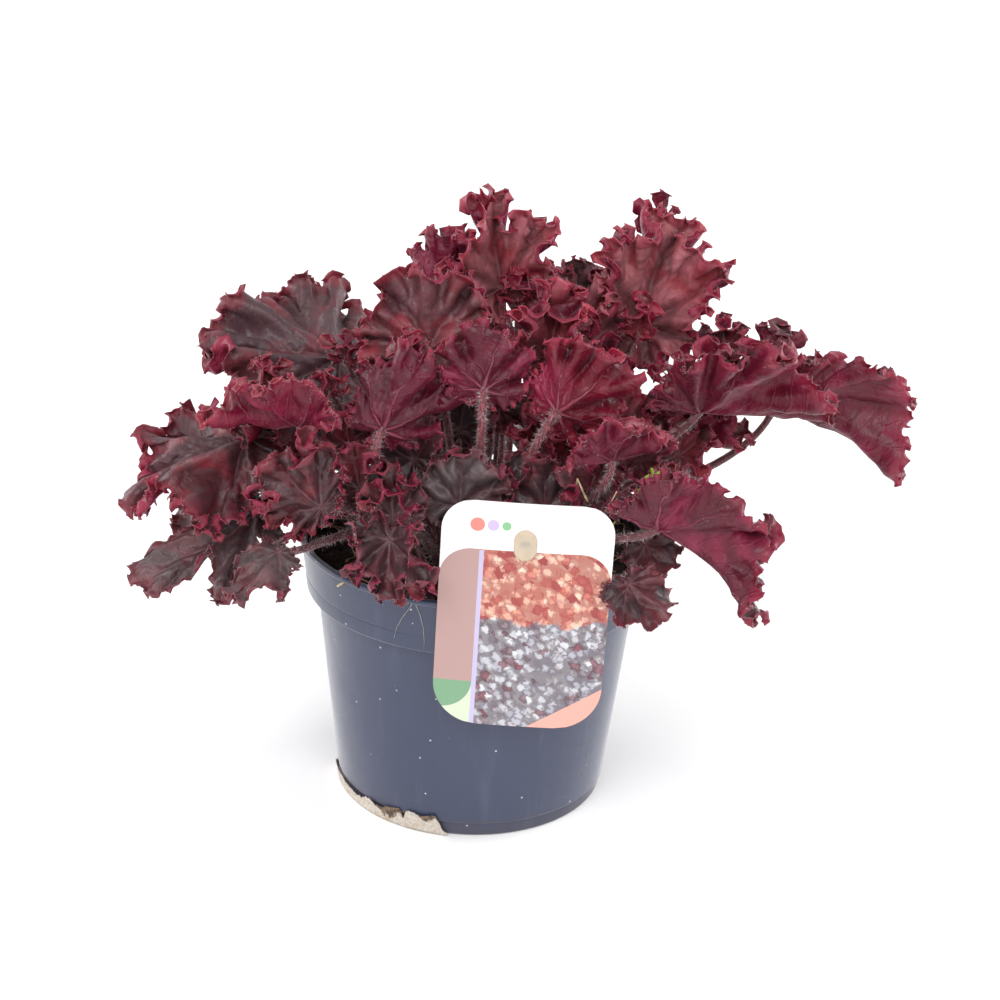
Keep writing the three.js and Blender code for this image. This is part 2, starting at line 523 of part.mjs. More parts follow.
// The card: a sheet bowed about the vertical, cut to its rounded outline, with a slot for the peg.
function cardGeometry() {
  const { width, height, bow, thickness } = CARD;
  const bend = width / bow / 2 + 0.01;
  const bowed = new THREE.Shape();
  bowed.absarc(0, 0, bow, -Math.PI / 2 - bend, -Math.PI / 2 + bend);
  bowed.absarc(0, 0, bow - thickness, -Math.PI / 2 + bend, -Math.PI / 2 - bend, true);
  const depth = height + 4;
  const sheet = new THREE.ExtrudeGeometry(bowed, { depth, bevelEnabled: false, curveSegments: 8 });
  sheet.translate(0, bow, -depth / 2);
  const cutter = plate(roundedOutline(width, height, CARD.topCorner, CARD.footCorner), -8, 16, 5);
  const card = toGeometry(toSolid(sheet).intersect(toSolid(cutter)));
  card.rotateY(-rad(CARD.turn)).translate(CARD.x, CARD_BACK - thickness, CARD.z);
  return toGeometry(toSolid(card).subtract(toSolid(pegNeck(CARD_BACK - 12, 24, GAP))));
}

// The bar through the card, from y to y + depth. `room` widens it.
function pegNeck(y, depth, room) {
  const shape = roundedOutline(PEG.neckWidth + 2 * room, PEG.neckHeight + 2 * room, 1, 1);
  return plate(shape, y, depth, 2).translate(CARD.x, 0, PEG.headZ);
}

// The flat stake behind the card: from the neck down inside the rim to its point in the soil.
function pegStake(room) {
  const half = PEG.width / 2 + room;
  const top = PEG.headZ + PEG.neckHeight / 2 + 0.5;
  const shape = new THREE.Shape();
  shape.moveTo(-half, top);
  shape.lineTo(-half, PEG.tip + PEG.taper);
  shape.lineTo(-PEG.tipWidth / 2, PEG.tip - room);
  shape.lineTo(PEG.tipWidth / 2, PEG.tip - room);
  shape.lineTo(half, PEG.tip + PEG.taper);
  shape.lineTo(half, top);
  const stake = plate(shape, -room, PEG.thickness + 2 * room, 2);
  stake.translate(0, 0, -PEG.headZ).rotateX(rad(PEG.lean));
  return stake.translate(CARD.x, CARD_BACK + GAP + 0.8, PEG.headZ);
}

function pegGeometry() {
  const front = CARD_BACK - CARD.thickness - GAP;
  const roundness = PEG.headWidth / 2 - 0.1;
  const shape = roundedOutline(PEG.headWidth, PEG.headHeight, roundness, roundness);
  const head = plate(shape, front - PEG.thickness, PEG.thickness, 4).translate(CARD.x, 0, PEG.headZ - 1);
  const neck = pegNeck(front - 0.5, PEG.neckDepth, 0);
  return toGeometry(toSolid(pegStake(0)).add(toSolid(neck)).add(toSolid(head)));
}

// ---------- the torn paper ----------
// Height of the paper's ragged upper edge, which rises towards its end and tapers off at both.
function stripHeight(share, angle) {
  const rise = STRIP.height + STRIP.extra * smooth(2 * share - 0.8);
  const rag = STRIP.rag * (Math.sin(21 * angle + 1) + 0.7 * Math.sin(31 * angle));
  const taper = smooth(9 * share) * smooth(14 * (1 - share));
  return STRIP.edge + taper * (rise + rag);
}

// A strip that wraps the left front of the foot.
function stripGeometry() {
  const points = [];
  for (let k = 0; k <= STRIP.columns; k += 1) {
    const share = k / STRIP.columns;
    const angle = rad(lerp(STRIP.from, STRIP.to, share));
    const top = GAP + stripHeight(share, angle);
    for (const [lift, z] of [[0, GAP], [0, top], [STRIP.thickness, top], [STRIP.thickness, GAP]]) {
      const r = bodyRadius(z) + GAP + 0.1 + lift;
      points.push(new THREE.Vector3(r * Math.cos(angle), r * Math.sin(angle), z));
    }
  }
  const faces = [[0, 2, 1], [0, 3, 2]];
  for (let k = 0; k < STRIP.columns; k += 1) {
    for (let s = 0; s < 4; s += 1) {
      const a = 4 * k + s;
      const b = 4 * k + ((s + 1) % 4);
      faces.push([a, b + 4, a + 4], [a, b, b + 4]);
    }
  }
  const last = 4 * STRIP.columns;
  faces.push([last, last + 1, last + 2], [last, last + 2, last + 3]);
  return meshGeometry(points, faces);
}

// ---------- the whole plant ----------
const plant = new THREE.Group();
plant.name = "heuchera_in_pot";

function addPiece(name, geometry, color, roughness) {
  const mesh = new THREE.Mesh(geometry, new THREE.MeshStandardMaterial({ color, roughness, metalness: 0 }));
  mesh.name = name;
  plant.add(mesh);
}

addPiece("pot", potGeometry(), 0x62677a, 0.45);
addPiece("soil", soilGeometry(), 0x1f1c1e, 0.95);
addPiece("crown", crownGeometry(0), 0x3a2420, 0.9);
addPiece("label_card", cardGeometry(), 0xe9e4e2, 0.35);
addPiece("label_peg", pegGeometry(), 0xdecdb4, 0.4);
addPiece("paper_strip", stripGeometry(), 0xe4ddd2, 0.85);
for (const [name, leaf] of Object.entries(LEAVES)) {
  addPiece(`leaf_${name}`, leafGeometry(leaf), 0x4a1a24, 0.5);
}

export default plant;
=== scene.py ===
# %% [markdown]
# # A heuchera in its nursery pot
# This lesson dresses a young heuchera: some sixty ruffled, wine-red leaves on hairy stalks, in the dark
# soil of a round nursery pot, with a card label on a peg. A CAD model gives each main piece its place
# and size. It is loaded first and never changed. The lesson then makes a finer piece for each of its
# solids and adds what CAD leaves out: veins, teeth, hairs, crumbs of soil, roots and specks of dirt.

# %% Load the CAD frame
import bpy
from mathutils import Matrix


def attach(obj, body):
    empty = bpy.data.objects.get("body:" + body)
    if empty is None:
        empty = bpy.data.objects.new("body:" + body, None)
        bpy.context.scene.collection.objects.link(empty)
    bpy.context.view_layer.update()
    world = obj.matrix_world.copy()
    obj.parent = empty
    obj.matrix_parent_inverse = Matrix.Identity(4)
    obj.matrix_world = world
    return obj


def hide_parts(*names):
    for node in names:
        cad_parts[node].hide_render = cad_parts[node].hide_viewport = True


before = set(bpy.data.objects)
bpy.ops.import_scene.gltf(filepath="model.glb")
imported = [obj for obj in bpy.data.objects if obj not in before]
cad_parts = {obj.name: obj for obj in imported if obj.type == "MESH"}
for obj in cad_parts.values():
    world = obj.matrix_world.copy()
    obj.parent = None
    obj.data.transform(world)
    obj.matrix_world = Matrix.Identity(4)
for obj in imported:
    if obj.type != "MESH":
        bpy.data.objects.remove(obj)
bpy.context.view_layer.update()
print("CAD nodes:", len(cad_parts))

# %% Libraries
import math
from dataclasses import dataclass

import bpy
import numpy as np
from mathutils import Matrix, Vector, noise

# %% [markdown]
# ## Units and small helpers
# Blender counts in metres, but a plant is easier to think about in millimetres. All the shapes below are
# worked out in millimetres, and one function turns them into metres at the last moment.

# %% Units
MM = 0.001
TURN = 2 * math.pi


def ease(value):
    """Goes smoothly from 0 to 1 as the value does."""
    value = np.clip(value, 0, 1)
    return value * value * (3 - 2 * value)


def unit(vectors):
    """The same directions, with length 1."""
    vectors = np.asarray(vectors, float)
    return vectors / np.maximum(np.linalg.norm(vectors, axis=-1, keepdims=True), 1e-9)


# %% [markdown]
# ## From numbers to a mesh
# A piece could be built corner by corner with bmesh, which is slow for leaves of many thousand corners.
# Here the corners and faces are worked out as whole arrays and handed to Blender in one go. Every piece
# rides on the plant's one body.

# %% A function that makes a piece
triangles_made = {}


def show(name, data):
    """A new object in the scene."""
    thing = bpy.data.objects.new(name, data)
    bpy.context.scene.collection.objects.link(thing)
    return thing


def make_piece(name, points, faces, finishes, slot, replaces=(), numbers=None, smooth=True, **facts):
    """Each array of faces has a number that picks its finish. Facts are values kept for each corner."""
    mesh = bpy.data.meshes.new(name)
    mesh.vertices.add(len(points))
    mesh.vertices.foreach_set("co", (np.asarray(points) * MM).ravel())
    corners = np.concatenate([part.ravel() for part in faces])
    sides = np.repeat([part.shape[1] for part in faces], [len(part) for part in faces])
    chosen = np.repeat(numbers or [0] * len(faces), [len(part) for part in faces])
    mesh.loops.add(len(corners))
    mesh.loops.foreach_set("vertex_index", corners)
    mesh.polygons.add(len(sides))
    mesh.polygons.foreach_set("loop_start", np.cumsum(sides) - sides)
    mesh.polygons.foreach_set("material_index", chosen)
    mesh.polygons.foreach_set("use_smooth", np.full(len(sides), smooth))
    mesh.update(calc_edges=True)
    for finish in finishes:
        mesh.materials.append(finish)
    for fact, values in facts.items():
        kind, field = ("FLOAT_VECTOR", "vector") if values.ndim == 2 else ("FLOAT", "value")
        store = mesh.attributes.new(fact, kind, "POINT")
        store.data.foreach_set(field, values.astype(np.float32).ravel())
    piece = show(name, mesh)
    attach(piece, "root")
    if replaces:
        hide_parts(*replaces)
    triangles_made[name] = int((sides - 2).sum())
    return piece


# %% [markdown]
# ## Shells, sheets, tubes and bristles
# Pot, soil, stalks, fibres and the peg are all closed rings of corners, one after the other, with a fan of
# triangles at each end. The card and the paper are sheets of two layers. Hairs are the smallest form: a
# cone of three sides, open at its root, which costs three triangles.

# %% Shells and sheets
def shell(count, rows, outwards=True):
    """Walls and caps of a solid of `rows` rings of `count` corners, with one more corner for each end."""
    row, k = np.arange(rows - 1)[:, None] * count, np.arange(count)
    after, last, hub = (k + 1) % count, count * (rows - 1), count * rows
    walls = np.stack([row + k, row + count + k, row + count + after, row + after], -1).reshape(-1, 4)
    low = np.stack([np.full(count, hub), after, k], -1)
    high = np.stack([np.full(count, hub + 1), last + k, last + after], -1)
    caps = np.concatenate([low, high])
    return (walls[:, ::-1], caps) if outwards else (walls, caps[:, [0, 2, 1]])


def sheet(rows, columns):
    """Front, back and rim of a sheet with two layers of corners, the front layer first."""
    r, c = np.arange(rows - 1)[:, None] * columns, np.arange(columns - 1)
    size = rows * columns
    front = np.stack([r + c, r + c + 1, r + columns + c + 1, r + columns + c], -1).reshape(-1, 4)
    loop = np.concatenate([
        np.arange(columns), columns * np.arange(1, rows) + columns - 1,
        size - 2 - np.arange(columns - 1), columns * np.arange(rows - 2, 0, -1),
    ])
    after = np.roll(loop, -1)
    return front, front[:, ::-1] + size, np.stack([loop, loop + size, after + size, after], -1)


# %% Tubes and hairs
def tube(line, radii, sides, ridges=0.0):
    """Corners, walls and caps of a tube, whose rings turn only as much as the line does."""
    line = np.asarray(line, float)
    along = unit(np.gradient(line, axis=0))
    across = Vector(along[0]).orthogonal().normalized()
    angles = TURN * np.arange(sides) / sides
    rings = []
    for here, way, radius in zip(line, along, radii):
        across = (across - Vector(way) * across.dot(Vector(way))).normalized()
        aside = Vector(way).cross(across)
        spread = radius * (1 + ridges * np.cos(3 * angles))[:, None]
        rings.append(here + spread * (np.cos(angles)[:, None] * across + np.sin(angles)[:, None] * aside))
    return np.concatenate([*rings, line[:1], line[-1:]]), *shell(sides, len(line))


def joined(parts):
    """One set of corners, walls and caps from several shells."""
    starts = np.cumsum([0] + [len(corners) for corners, _, _ in parts])
    walls = np.concatenate([part[1] + start for part, start in zip(parts, starts)])
    caps = np.concatenate([part[2] + start for part, start in zip(parts, starts)])
    return np.concatenate([part[0] for part in parts]), walls, caps


def bristles(roots, ways, lengths, radius):
    """Corners and faces of many thin three-sided cones."""
    ways = unit(ways)
    helper = np.where(np.abs(ways[:, 2:]) < 0.9, [[0, 0, 1.0]], [[1.0, 0, 0]])
    across = unit(np.cross(ways, helper))
    aside = np.cross(ways, across)
    angles = (0, TURN / 3, 2 * TURN / 3)
    corners = [roots + radius * (math.cos(angle) * across + math.sin(angle) * aside) for angle in angles]
    corners.append(roots + ways * np.asarray(lengths)[:, None])
    base = 4 * np.arange(len(roots))[:, None]
    faces = np.concatenate([base + [[0, 1, 3]], base + [[1, 2, 3]], base + [[2, 0, 3]]])
    return np.stack(corners, 1).reshape(-1, 3), faces


print("Helpers for shells, sheets, tubes and hairs are ready")

# %% [markdown]
# ## A helper for finishes
# A finish is a tree of shader nodes. Added by hand, each node takes four or five lines, which hides what
# the finish does. Two small classes help: a Finish adds and wires nodes, and what comes out of a node is
# a Value, which can be added and multiplied like a number. What is the same all over a surface, such as
# its sheen, is set on the shader itself.

# %% Values that can be reckoned with
def paint(red, green, blue):
    """A colour as a painter's chart gives it, 0 to 255, turned into the linear values that shaders use."""
    parts = np.array([red, green, blue]) / 255
    linear = np.where(parts <= 0.04045, parts / 12.92, ((parts + 0.055) / 1.055) ** 2.4)
    return (*linear.tolist(), 1.0)


def operation(name, swapped=False):
    """A method that adds a Math node."""
    def method(self, other=0.0):
        first, second = (other, self) if swapped else (self, other)
        return self.finish.add("Math", {0: first, 1: second}, operation=name)
    return method


class Value:
    """What comes out of a node of a finish."""

    def __init__(self, finish, socket):
        self.finish = finish
        self.socket = socket

    __add__ = __radd__ = operation("ADD")
    __sub__ = operation("SUBTRACT")
    __rsub__ = operation("SUBTRACT", swapped=True)
    __mul__ = __rmul__ = operation("MULTIPLY")
    __truediv__ = operation("DIVIDE")
    __abs__ = operation("ABSOLUTE")
    __lt__ = operation("LESS_THAN")
    __gt__ = operation("GREATER_THAN")
    at_least = operation("MAXIMUM")
    square_root = operation("SQRT")
    sine = operation("SINE")
    cosine = operation("COSINE")
    angle_from = operation("ARCTAN2")
    rounded = operation("ROUND")
    sign = operation("SIGN")
    fraction = operation("FRACT")

    def rise(self, low, high):
        """0 below low, 1 above high, and a smooth step between."""
        inputs = {"Value": self, "From Min": low, "From Max": high}
        return self.finish.add("MapRange", inputs, interpolation_type="SMOOTHSTEP")


# %% The Finish class
class Finish:
    """One material, built up node by node."""

    def __init__(self, name, **constants):
        self.material = bpy.data.materials.new(name)
        self.material.use_nodes = True
        self.tree = self.material.node_tree
        self.set(**constants)

    def set(self, **values):
        """Sets or wires the shader's inputs: base_color for Base Color, and so on."""
        for key, value in values.items():
            name = key.replace("_", " ").title().replace("Ior", "IOR")
            self.wire(self.tree.nodes["Principled BSDF"].inputs[name], value)
        return self.material

    def wire(self, socket, value):
        """Links a value, or sets a number or a painter's colour."""
        if isinstance(value, Value):
            self.tree.links.new(value.socket, socket)
        else:
            socket.default_value = paint(*value) if socket.type == "RGBA" else value

    def add(self, kind, inputs, output=0, **settings):
        """Adds a node, wires its inputs and gives back one of its outputs."""
        node = self.tree.nodes.new("ShaderNode" + kind)
        for key, value in settings.items():
            setattr(node, key, value)
        for key, value in inputs.items():
            self.wire(node.inputs[key], value)
        return Value(self, node.outputs[output])

    def fact(self, name, output="Vector"):
        """A value that was kept for each corner of the mesh."""
        return self.add("Attribute", {}, output, attribute_name=name)

    def where(self, x=1, y=1, z=1):
        """The place on the piece, in millimetres. A small factor draws a pattern out in that direction."""
        inputs = {0: self.add("TexCoord", {}, "Object"), 1: (x / MM, y / MM, z / MM)}
        return self.add("VectorMath", inputs, operation="MULTIPLY")

    def parts(self, vector):
        return [self.add("SeparateXYZ", {0: vector}, axis) for axis in "XYZ"]

    def join(self, x, y, z):
        return self.add("CombineXYZ", {0: x, 1: y, 2: z})

    def clouds(self, where, size, detail=2.0, roughness=0.5):
        """Soft noise with features of about `size` millimetres."""
        inputs = {"Vector": where, "Scale": 1 / size, "Detail": detail, "Roughness": roughness}
        return self.add("TexNoise", inputs)

    def cells(self, where, size, output="Distance"):
        """Scattered spots: how far the nearest one is, or a colour of its own."""
        return self.add("TexVoronoi", {"Vector": where, "Scale": 1 / size}, output)

    def ramp(self, value, *stops):
        """Colours along a value: each stop is a position and a painter's colour."""
        node = self.tree.nodes.new("ShaderNodeValToRGB")
        self.wire(node.inputs[0], value)
        elements = node.color_ramp.elements
        while len(elements) < len(stops):
            elements.new(0.5)
        for element, (position, *colour) in zip(elements, stops):
            element.position = position
            element.color = paint(*colour)
        return Value(self, node.outputs[0])

    def blend(self, share, first, second):
        """The first colour where the share is 0, the second where it is 1."""
        return self.add("Mix", {0: share, 6: first, 7: second}, 2, data_type="RGBA")

    def over(self, tone, *layers):
        """Lays colours over a tone, one after the other: each layer is (share, colour)."""
        for share, colour in layers:
            tone = self.blend(share, tone, colour)
        return tone

    def relief(self, height, depth, **under):
        """Bumps `depth` millimetres high where the height is 1, on top of those under them."""
        return self.add("Bump", {"Height": height, "Distance": depth * MM, **under})


def drifting(name, size, detail, dark, light, **constants):
    """A plain finish whose colour drifts between two tones."""
    finish = Finish(name, **constants)
    clouds = finish.clouds(finish.where(), size, detail)
    finish.set(base_color=finish.ramp(clouds, (0.3, *dark), (0.7, *light)))
    return finish


print("Leaf red in shader values:", [round(part, 3) for part in paint(122, 40, 54)])

# %% [markdown]
# ## The planting plan
# A heuchera has no main stem above the ground. Each leaf stands on a stalk of its own, which rises from
# the woody crown in the soil and carries one rounded, lobed blade. The plan below lists every leaf, with
# the same numbers as the CAD model: where its blade joins the stalk, how it is turned, and its form.
# One number is new: the age. Young leaves are crimson, old ones turn a dull greyish brown.

# %% What one line of the plan says
@dataclass
class Leaf:
    """Places and lengths are in millimetres, bends in degrees."""

    joint: tuple  # where the stalk meets the blade
    aim: tuple  # which way the middle vein sets out
    face: tuple  # which way the upper side looks
    size: float  # from the joint to the tip
    back: float  # how much shorter the blade is behind the joint
    arch: float  # how far the tip bends down
    fold: float  # how far the two sides bend down from the middle vein
    cut: float  # depth of the clefts between the lobes
    frill: float  # height of the ruffles
    waves: float  # their number
    mood: float  # what makes each leaf's unevenness its own
    age: float  # 0 young and crimson, 1 old and brown
    ring: str  # the ring of roots that it stands in
    spot: object  # its place on the ring, or the x and y of a free root
    narrow: float = 0.0  # how much narrower than round the blade is
    sway: tuple = (0, 0, 0)  # a push that bends the stalk aside


ROOT_RINGS = {"heart": (11, 6), "inner": (20, 12), "outer": (29, 17), "skirt": (38, 22)}  # radius, places

# %% The leaves
# First lines: joint, aim, face and size.
# Second lines: back, arch, fold, cut, frill, waves, mood, age, ring and spot.
LEAVES = {
    "top": Leaf((7, 14, 245), (-3, 2, 9), (2, -9, 3), 48,
        0.3, -15, -52, 0.26, 2.4, 14, 0.4, 0.35, "heart", 1),
    "topLeft": Leaf((-20, 6, 241), (0, -2, 9), (0, 9, 2), 35,
        0.6, -20, -50, 0.1, 2, 10, 2.2, 0.35, "heart", 3),
    "brow": Leaf((-24, -33, 229), (-5, 3, 9), (-1, -9, 4), 40,
        0.5, 15, 8, 0.1, 1.8, 14, 1.3, 0.56, "heart", 4),
    "leftHigh": Leaf((-67, 2, 212), (-9, -1, 3), (-1, -4, 9), 63,
        0.1, 25, 15, 0.12, 2.4, 16, 2.1, 0.85, "inner", 6),
    "leftFold": Leaf((-78, -70, 206), (-9, -1, 1), (0, 4, 9), 41,
        0.6, 10, -36, 0.12, 2, 14, 0.9, 0.4, "inner", 7),
    "farLeft": Leaf((-104, -40, 186), (-9, -4, 0), (-1, -2, 9), 64,
        0.5, 52, 18, 0.18, 2.4, 16, 2.9, 0.66, "outer", 9),
    "oakLeft": Leaf((-99, -54, 156), (-9, -4, -4), (0, -2, 9), 66,
        0.8, 25, 5, 0.5, 1.2, 14, 3.7, 1, "skirt", 12, narrow=0.35),
    "oakLow": Leaf((-84, -95, 157), (-7, -7, -4), (-3, -6, 9), 30,
        0.8, 25, 20, 0.36, 1.2, 10, 0.2, 1, "skirt", 13, narrow=0.25),
    "apron": Leaf((-67, -84, 174), (-9, -3, 8), (-2, -9, 4), 35,
        0.8, 20, 15, 0.28, 2, 12, 5.1, 0.72, "skirt", 14),
    "bib": Leaf((-37, -87, 161), (0, -5, -8), (-1, -9, 2), 28,
        0.5, 15, -35, 0.25, 2, 10, 4.4, 0.9, "skirt", 15),
    "veil": Leaf((-36, -76, 167), (-2, 1, 9), (0, -9, 3), 23,
        0.6, 20, 10, 0.16, 1.6, 10, 0.6, 0.85, "outer", 11),
    "funnel": Leaf((-42, -62, 202), (3, 0, 9), (2, 9, 0), 42,
        0.85, -10, -40, 0.12, 2, 10, 1.9, 0.25, "inner", 8, sway=(-5, -6, 0)),
    "lantern": Leaf((1, -62, 222), (1, 3, 9), (0, 9, 2), 31,
        0.8, 5, -15, 0.12, 1.8, 10, 3.3, 0.15, "inner", 9),
    "heart": Leaf((33, -61, 213), (9, 1, 6), (-2, 9, -2), 38,
        0.8, 10, -25, 0.12, 2, 12, 0.7, 0, "inner", 10),
    "fringe": Leaf((30, -28, 226), (0, 1, 9), (0, -9, 3), 34,
        0.5, 10, -50, 0.12, 2.6, 12, 2.6, 0.1, "heart", 5),
    "crest": Leaf((39, 20, 224), (0, 3, 9), (1, -9, 3), 32,
        0.5, 10, -15, 0.12, 1.8, 10, 5.4, 0.4, "heart", 0),
    "rightHigh": Leaf((72, 15, 230), (2, 3, 9), (1, -9, 4), 55,
        0.5, -5, -42, 0.2, 2.4, 16, 4.9, 0.38, "inner", 0),
    "rightWing": Leaf((96, -50, 212), (9, -1, 1), (0, 4, 9), 58,
        0.6, 8, -36, 0.14, 2.4, 16, 1.1, 0.8, "outer", 16),
    "farRight": Leaf((136, 4, 197), (9, -1, -1), (0, 3, 9), 76,
        0.8, 42, -50, 0.14, 2.4, 16, 5.6, 0.86, "outer", 0, narrow=0.35, sway=(8, -4, -18)),
    "slim": Leaf((88, -16, 187), (9, -2, 1), (0, 1, 9), 34,
        0.6, 15, -58, 0.14, 1.6, 10, 2.8, 0.85, "skirt", 21),
    "rightLow": Leaf((78, -89, 172), (9, -2, -2), (0, 5, 9), 60,
        0.6, 52, -46, 0.18, 2, 16, 3.0, 0.9, "skirt", 19, narrow=0.2),
    "tuck": Leaf((57, -76, 198), (8, -2, 4), (-2, 5, 8), 28,
        0.4, 10, -30, 0.14, 1.6, 10, 2.2, 0.3, "outer", 15, sway=(8, 0, 0)),
    "nook": Leaf((58, -34, 192), (8, 2, 8), (-4, -6, 5), 26,
        0.6, 20, -20, 0.14, 1.6, 10, 4.0, 0.1, "inner", 11),
    "ember": Leaf((30, -62, 167), (-1, -1, 9), (0, -9, 2), 26,
        0.6, 20, 20, 0.14, 1.6, 10, 0.1, 0.9, "outer", 14),
    "slate": Leaf((-8, -67, 170), (1, 0, 9), (0, -9, 3), 27,
        0.5, 20, 20, 0.14, 1.4, 10, 1.2, 1, "outer", 13),
    "pocket": Leaf((67, -84, 143), (6, -6, -6), (4, -8, 5), 24,
        0.8, 10, 5, 0.14, 0.7, 10, 4.2, 0.95, "skirt", 18),
    "nib": Leaf((74, -66, 154), (7, -5, -5), (3, -8, 5), 18,
        0.6, 10, 10, 0.14, 0.7, 8, 4.3, 0.95, "skirt", 20),
    "midLeft": Leaf((-55, 30, 186), (-6, 4, 3), (-1, -5, 8), 36,
        0.4, 30, 15, 0.16, 1.8, 8, 3.5, 0.8, "outer", 8),
    "midCentre": Leaf((-12, 22, 172), (0, -1, 9), (0, -8, 5), 26,
        0.4, 25, 15, 0.16, 1.8, 8, 1.0, 0.8, "outer", 5),
    "midBack": Leaf((-10, 59, 208), (-2, 7, 3), (0, -4, 9), 42,
        0.6, 35, 20, 0.16, 1.8, 8, 4.1, 0.7, "outer", 3),
    "backTop": Leaf((44, 44, 214), (2, 6, 6), (-1, -6, 7), 44,
        0.4, 30, 20, 0.16, 2, 8, 5.2, 0.6, "inner", 2),
    "backRight": Leaf((54, 62, 170), (5, 8, 0), (0, -1, 9), 46,
        0.4, 40, 25, 0.16, 2, 8, 3.9, 0.7, "outer", 2),
    "backMid": Leaf((12, 82, 190), (0, 9, 1), (0, -1, 9), 52,
        0.4, 45, 25, 0.18, 2, 8, 2.7, 0.75, "inner", 3),
    "backLeft": Leaf((-38, 70, 176), (-4, 8, 0), (0, -1, 9), 48,
        0.4, 45, 25, 0.16, 2, 8, 0.8, 0.7, "inner", 4),
    "leftBack": Leaf((-88, 28, 164), (-9, 2, 0), (0, -1, 9), 48,
        0.4, 40, 20, 0.2, 2, 8, 4.6, 0.8, "inner", 5),
    "lowBackLeft": Leaf((-60, 82, 143), (-5, 8, -1), (-2, 2, 9), 48,
        0.3, 30, 20, 0.3, 1.6, 8, 1.7, 1, "outer", 6),
    "lowBack": Leaf((14, 92, 143), (1, 9, 0), (0, 3, 9), 50,
        0.3, 30, 20, 0.3, 1.6, 8, 5.9, 1, "outer", 4),
    "lowBackRight": Leaf((78, 65, 144), (7, 7, -1), (2, 2, 9), 44,
        0.3, 30, 20, 0.3, 1.6, 8, 2.4, 1, "skirt", 2),
}
print("Leaves in the plan:", len(LEAVES))

# %% [markdown]
# ## The form of a blade
# A blade could be sculpted by hand forty times over, or one could be modelled and copied, which looks
# like wallpaper. Here a blade is a formula of two numbers instead: the direction phi from the joint,
# 0 along the middle vein, and the share of the way from the joint to the margin. Seven lobes with clefts
# give the outline, and pleats, slow waves and ruffles give the height, each shifted by the leaf's mood.

# %% The outline
SPAN = math.radians(162)  # from the middle vein to either side of the notch
NOTCH = 0.14  # how near the notch behind the joint comes, as a share of the size
LOBES = 7.2  # to a full turn


def unevenness(leaf, phi, slow, quick):
    return 1 + slow * np.sin(2 * phi + 3 * leaf.mood) + quick * np.sin(5 * phi + leaf.mood)


def outline(leaf, phi):
    """Distance from the joint to the margin in the direction phi."""
    reach = 1 - leaf.back * (1 - np.cos(phi)) / 2
    width = 1 - leaf.narrow * np.sin(phi) ** 2
    cleft = ((1 - np.cos(LOBES * phi)) / 2) ** 1.5
    return leaf.size * reach * width * unevenness(leaf, phi, 0.05, 0.04) * (1 - leaf.cut * cleft)


# %% [markdown]
# ## Bending the blade
# A living blade is hardly ever flat: its tip arches down and its two halves fold along the middle vein.
# Blender's Simple Deform modifier could bend a flat leaf, but its limits and axes are fiddly for forty
# leaves. Rolling the numbers over a circle, by the same formula as in CAD, keeps each finer blade exactly
# where its solid is.

# %% Arch and fold
def arched(u, w, bend, size):
    """Bends a strip that runs along u, with height w over it, down by `bend` degrees per size."""
    if abs(bend) < 0.5:
        return u, w
    curve = math.radians(bend) / size
    return (1 / curve + w) * np.sin(curve * u), (1 / curve + w) * np.cos(curve * u) - 1 / curve


def folded(v, w, bend, size):
    """Bends the two sides of the middle vein down, mostly close to the vein."""
    angle = math.radians(bend) * (1 - np.exp(-np.abs(v) / (0.22 * size))) * np.sign(v)
    return v * np.cos(angle) + w * np.sin(angle), w * np.cos(angle) - v * np.sin(angle)


# %% The blade before any ruffle
STALK_TOP = 1.7  # radius where the stalk meets the blade


def crumple(leaf, x, y):
    """A slow, irregular unevenness of the whole blade, in millimetres."""
    first = np.sin(0.21 * x + 0.13 * y + 3 * leaf.mood) * np.cos(0.19 * y - 0.08 * x + leaf.mood)
    second = np.sin(0.43 * x - 0.31 * y + 5 * leaf.mood) * np.cos(0.37 * y + 0.22 * x)
    return 0.9 * first + 0.6 * second


def vein_way(leaf, phi, share):
    """The direction that the veins would have here if they were straight: they bend a little."""
    return phi + 0.2 * share * np.sin(2.3 * phi + 3 * leaf.mood) + 0.07 * np.sin(3.1 * phi + 5 * leaf.mood)


def smooth_blade(leaf, phi, share):
    """Points of the pleated, folded and arched blade, in the leaf's own frame."""
    margin = outline(leaf, phi)
    flat = STALK_TOP + (margin - STALK_TOP) * share
    way = vein_way(leaf, phi, share)
    lobe = np.abs(np.sin(LOBES / 2 * way))
    ridge = 0.16 * (lobe**0.8 - 0.68) * share**0.8 - 0.05 * np.cos(LOBES * way) * share
    small = 0.06 * np.cos(2 * LOBES * way + 0.5 * np.sin(3 * phi)) * ease((share - 0.25) / 0.5)
    billow = 0.07 * np.sin(3 * phi + 2 * leaf.mood) * share**2 + 0.05 * share**2
    x, y = flat * np.cos(phi), flat * np.sin(phi)
    pleats = min(1, 0.3 + leaf.frill / 2.4) * (ridge + small)
    tall = margin * (pleats + billow) + crumple(leaf, x, y) * ease(share / 0.4)
    y, low = folded(y, tall, leaf.fold, leaf.size)
    x, z = arched(x, low, leaf.arch, leaf.size)
    return np.stack([x, y, z], -1)


# %% [markdown]
# ## Ruffles upon ruffles
# The ruffles are what this plant is grown for. The margin grows faster than the middle of the blade, so
# it has to buckle, and its edge grows faster still. One wave looks like a lampshade, and two
# waves in the same direction look like a saw. What makes a frill is that each layer of waves stands on
# the layer below and moves off it at right angles, wherever that one already leans. So the form is built
# in four layers: the smooth blade, slow waves, flaps that roll over and show their red underside, and
# a fine crimp. Each layer asks the one below for its points and for the directions around them.

# %% The second layer: slow waves
FRILLS_PER_MM = 0.27  # of the blade's size


